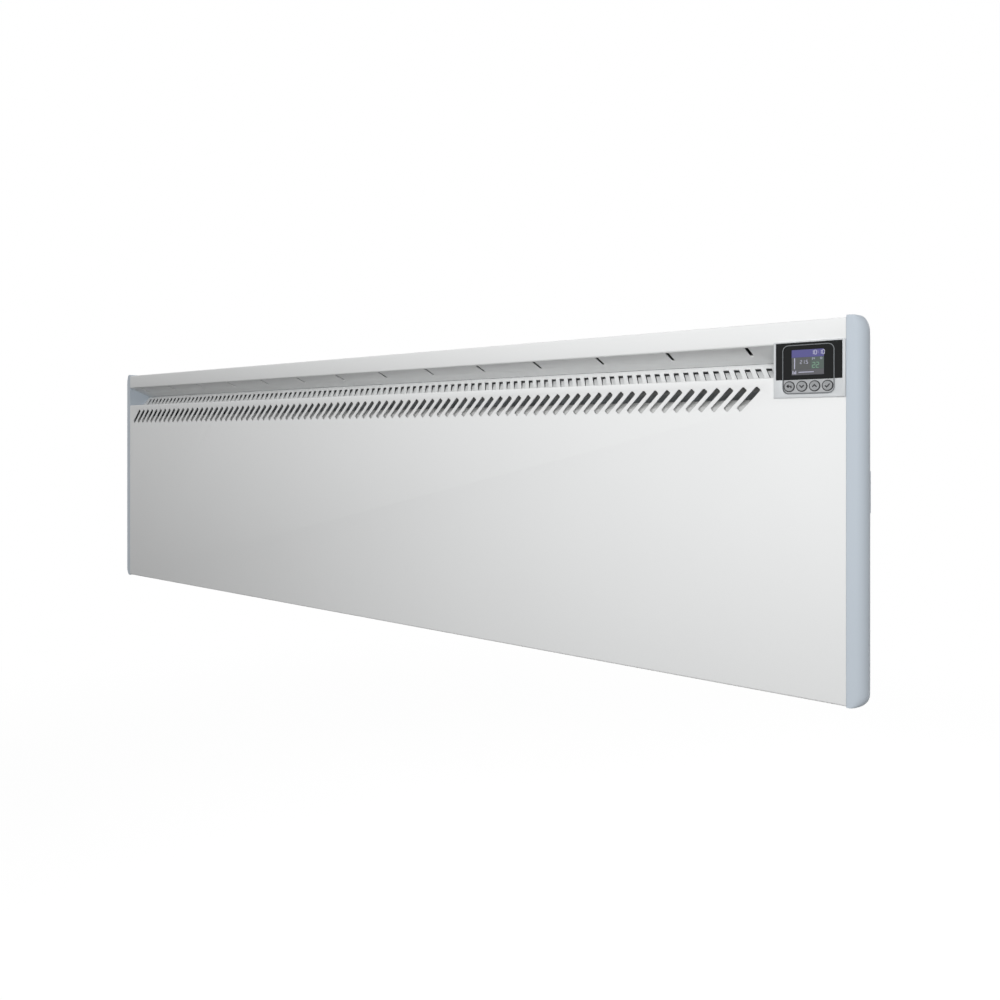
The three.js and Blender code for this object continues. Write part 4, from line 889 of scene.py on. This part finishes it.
def roundLoop(halfAlong, halfUp, radius):
    # a rectangle with round corners as a loop of (along, up)
    turn = np.linspace(0, quarterTurn, 5)
    corner = radius * np.stack([np.cos(turn), np.sin(turn)], -1)
    signs = np.array([(1, 1), (-1, 1), (-1, -1), (1, -1)])
    centres = signs * (halfAlong - radius, halfUp - radius)
    quarter = [(corner * sign)[::way] for sign, way in zip(signs, (1, -1, 1, -1))]
    return np.concatenate([centre + part for centre, part in zip(centres, quarter)])


def roundStack(stations, closed):
    # rings of rounded rectangles at (half along, half up, corner, out), joined in order and then
    # end to end, or else capped at both ends
    rings = [np.insert(roundLoop(a, u, r), 0, out, axis=1) for a, u, r, out in stations]
    rows, columns = len(rings), len(rings[0])
    faces = gridFaces(rows, columns, loopRows=closed, loopColumns=True).tolist()
    if not closed:
        faces += endFaces(rows, columns)
    return toRow(onSeat(np.concatenate(rings))), faces


def stations(half, corner, rows):
    # each row: how far in from the half sizes, how far out of the seat
    return [(half[0] - inset, half[1] - inset, max(corner - inset, 0.2), out)
            for inset, out in rows]


def switchRim():
    # up the outside, over the rounded top, down into the seat and through the cap's wall
    s = switchShape
    top, foot, back = s["rimTop"], s["rimFoot"], -s["wall"]
    rows = stations(s["rimHalf"], 3.0, [(0, back), (0, foot), (0.03, top - 0.3),
                                        (0.15, top - 0.1), (0.4, top)])
    rows += stations(s["seatHalf"], 1.0, [(-0.5, top), (-0.2, top - 0.08), (-0.04, top - 0.3),
                                          (0, 0)])
    rows += stations(s["portHalf"], 0.6, [(0, 0), (0, back)])
    points, faces = roundStack(rows, True)
    addPiece("switchRimMoulded", points, faces, "capPlastic", "heater")


def switchFrame():
    # from the body's end up to the flange, over its rounded top and down the well to its floor
    s = switchShape
    top = s["frameTop"]
    rows = stations(s["bodyHalf"], 0.6, [(0, s["bodyEnd"]), (0, gap)])
    rows += stations(s["frameHalf"], 1.6, [(0.15, gap), (0, gap + 0.15), (0, top - 0.4),
                                           (0.12, top - 0.12), (0.4, top)])
    rows += stations(s["wellHalf"], 0.6, [(-0.6, top), (-0.2, top - 0.1), (0, top - 0.4),
                                          (0, s["wellFloor"])])
    points, faces = roundStack(rows, False)
    frameRing = addPiece("switchFrameMoulded", points, faces, "whitePlastic", "heater")
    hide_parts("rocker_frame")


def dish(up):
    # the paddle's face: a parabola between its two crests
    s = switchShape
    return s["valley"] + (s["crest"] - s["valley"]) * (up / s["crestAt"]) ** 2


def onPivot(points):
    # turned about the pivot to the position in which the upper end stands out
    tilt = math.radians(switchShape["tilt"])
    out, along, up = np.asarray(points, float).T
    turned = [out * math.cos(tilt) + up * math.sin(tilt) - switchShape["pivot"], along,
              up * math.cos(tilt) - out * math.sin(tilt)]
    return toRow(onSeat(np.stack(turned, -1)))


def switchPaddle():
    # one section of (out, up), repeated along with its edges drawn in at both ends
    s = switchShape
    face = np.linspace(-s["crestAt"], s["crestAt"], s["facePoints"])
    turn = np.linspace(0, quarterTurn, 5)[1:]
    top = np.stack([dish(face), face], -1)
    fall, past = s["crestRound"]
    crest = np.stack([s["crest"] - fall * (1 - np.cos(turn)),
                      s["crestAt"] + past * np.sin(turn)], -1)
    side = np.array(s["flank"])
    loop = np.concatenate([top, crest, side, side[::-1] * (1, -1), crest[::-1] * (1, -1)])
    inset, inwards = np.array(s["paddleEdge"]).T
    insets = np.concatenate([inset, inset[::-1]])
    reach = s["paddleHalf"][0] - inwards
    along = np.concatenate([-reach, reach[::-1]])
    section = loop[None] * (1 - insets[:, None, None] / s["paddleHalf"][1])
    along = np.broadcast_to(along[:, None], section.shape[:2])
    points = np.stack([section[..., 0], along, section[..., 1]], -1)
    rows, columns = points.shape[:2]
    faces = gridFaces(rows, columns, loopColumns=True).tolist() + endFaces(rows, columns)
    paddle = addPiece("switchPaddleMoulded", onPivot(points.reshape(-1, 3)), faces,
                      "whitePlastic", "rocker_body", sharp=s["paddleSharp"])
    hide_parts("mains_rocker")


def switchMarks():
    # a bar above and a ring below, laid on the paddle's dish
    s = switchShape
    ring = np.linspace(0, fullTurn, s["ringPoints"])
    bar = np.linspace(-s["barHalf"], s["barHalf"], s["barPoints"])
    stroke = np.stack([np.zeros_like(bar), bar], -1)
    circle = np.stack([s["ringHalf"][0] * np.cos(ring), s["ringHalf"][1] * np.sin(ring)], -1)
    lines = (stroke + (0, s["markUp"]), circle - (0, s["markUp"]))
    bands = [ribbon(line, s["markWidth"]) for line in lines]
    points, faces = raisedBand(bands, s["markProud"], -s["markRoot"])
    points = np.stack([points[:, 1] + dish(points[:, 2]), points[:, 0], points[:, 2]], -1)
    addPiece("switchMarks", onPivot(points), faces, "darkPlastic", "rocker_body")


switchRim()
switchFrame()
switchPaddle()
switchMarks()
print("heater: mains switch made")

# Screws through the back panel: pan heads with a cross recess pressed into a low dome.
screwShape = {
    "places": (halfWidth - 52.5, 200.0), "height": 377.0, "head": 4.0, "shank": 2.0, "seat": 72.3,
    "rise": 2.4, "domeFall": 0.55, "tip": 63.0, "slot": 0.45, "reach": 1.9, "sink": 1.2,
    "sides": 64, "rings": 14, "sharp": 30,
}


def makeScrews():
    # head depth = dome over the radius, less the sink where a point lies in either bar of the cross
    s = screwShape
    angle = np.linspace(0, fullTurn, s["sides"], endpoint=False)
    radius = np.linspace(0, s["head"], s["rings"])[1:, None]
    across, upward = radius * np.cos(angle), radius * np.sin(angle)
    nearBar = np.minimum(abs(across), abs(upward)) < s["slot"]
    dome = s["rise"] * (1 - s["domeFall"] * (radius / s["head"]) ** 3)
    depth = s["seat"] + dome - s["sink"] * (nearBar & (radius < s["reach"]))
    under = [(s["head"], s["seat"]), (s["shank"], s["seat"]), (s["shank"], s["tip"])]
    rest = [np.stack([r * np.cos(angle), 0 * angle + d, r * np.sin(angle)], -1) for r, d in under]
    rows = np.concatenate([np.stack([across, depth, upward], -1), rest])
    count = len(rows)
    middle = np.array([[0, s["seat"] + s["rise"] - s["sink"], 0], [0, s["tip"], 0]])
    points = np.concatenate([rows.reshape(-1, 3), middle])
    faces = gridFaces(count, s["sides"], loopColumns=True).tolist()
    k = np.arange(s["sides"])
    after = (k + 1) % s["sides"]
    last = (count - 1) * s["sides"]
    faces += np.stack([k * 0 + count * s["sides"], k, after], -1).tolist()
    faces += np.stack([k * 0 + count * s["sides"] + 1, last + after, last + k], -1).tolist()
    outer, middlePlace = s["places"]
    for number, x in enumerate((-outer, -middlePlace, middlePlace, outer), 1):
        placed = toRow(points + (x, 0, s["height"]))
        screw = addPiece(f"panScrew{number}", placed, faces, "plainSteel", "heater",
                         sharp=s["sharp"])
        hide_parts(f"casing_screw_{number}")


# Heating rods and their ceramic bushes, turned about the long axis.
elementShape = {
    "ends": ((52.5 - halfWidth, -18.0), (18.0, halfWidth - 100.5)), "depth": 40.0,
    "height": 120.0, "rod": 5.0, "rodTip": 1.0, "rodSides": 32, "overrun": 10.0, "bore": 5.3,
    "bush": 9.0, "collar": 12.0, "half": 5.0, "seat": 0.9, "round": 0.5, "bushSides": 40,
}


def makeElements():
    e = elementShape
    turn = np.linspace(0, quarterTurn, 6)
    half, o, r = e["half"], e["round"], e["rodTip"]
    tip = np.stack([e["rod"] - r + r * np.sin(turn), r * (1 - np.cos(turn))], -1)
    bushProfile = [(e["bore"], -half), (e["bush"] - o, -half), (e["bush"], o - half),
                   (e["bush"], e["seat"]), (e["collar"] - o, e["seat"]),
                   (e["collar"], e["seat"] + o), (e["collar"], half - o),
                   (e["collar"] - o, half), (e["bore"], half)]
    for pair, (left, right) in enumerate(e["ends"], 1):
        start, end = left - e["overrun"], right + e["overrun"]
        ends = tip + (0, start), (tip * (1, -1) + (0, end))[::-1]
        profile = np.concatenate([[(0, start)], *ends, [(0, end)]])
        points, faces = lathe(profile, e["rodSides"], (0, e["depth"], e["height"]), back=False)
        rod = addPiece(f"heatingRod{pair}", toRow(points), faces, "plainSteel", "heater")
        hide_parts(f"element_rod_{pair}")
        for side, x in enumerate((left, right)):
            points, faces = lathe(bushProfile, e["bushSides"], (x, e["depth"], e["height"]),
                                  back=False, closed=True)
            number = 2 * pair + side - 1
            bush = addPiece(f"ceramicBush{number}", toRow(points), faces, "glazedCeramic",
                            "heater")
            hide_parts(f"ceramic_bush_{number}")


# Rivet heads of the wall bracket, each a low dome on the metal it holds: depth of the metal's
# face, then the heights.
rivetShape = {
    "across": 260.0, "radius": 3.4, "rise": 1.1, "root": 0.3, "sides": 24,
    "rows": ((85.4, (263.0, 273.0, 81.0)), (87.7, (110.0, 246.0))),
}


def makeRivets():
    r = rivetShape
    turn = np.linspace(0, quarterTurn, 6)
    points, faces, count = [], [], 0
    for face, heights in r["rows"]:
        dome = np.stack([r["radius"] * np.sin(turn), face - r["rise"] * np.cos(turn)], -1)
        profile = np.concatenate([dome, [(r["radius"], face + r["root"]), (0, face + r["root"])]])
        for height in heights:
            for x in (-r["across"], r["across"]):
                more, sides = lathe(profile, r["sides"], (x, 0, height))
                points.append(more)
                faces.append(sides + count)
                count += len(more)
    addPiece("bracketRivets", toRow(np.concatenate(points)), np.concatenate(faces), "plainSteel",
             "wall_bracket", merge=1e-7)


makeScrews()
makeElements()
makeRivets()
print("heater: screws, elements and rivets made")
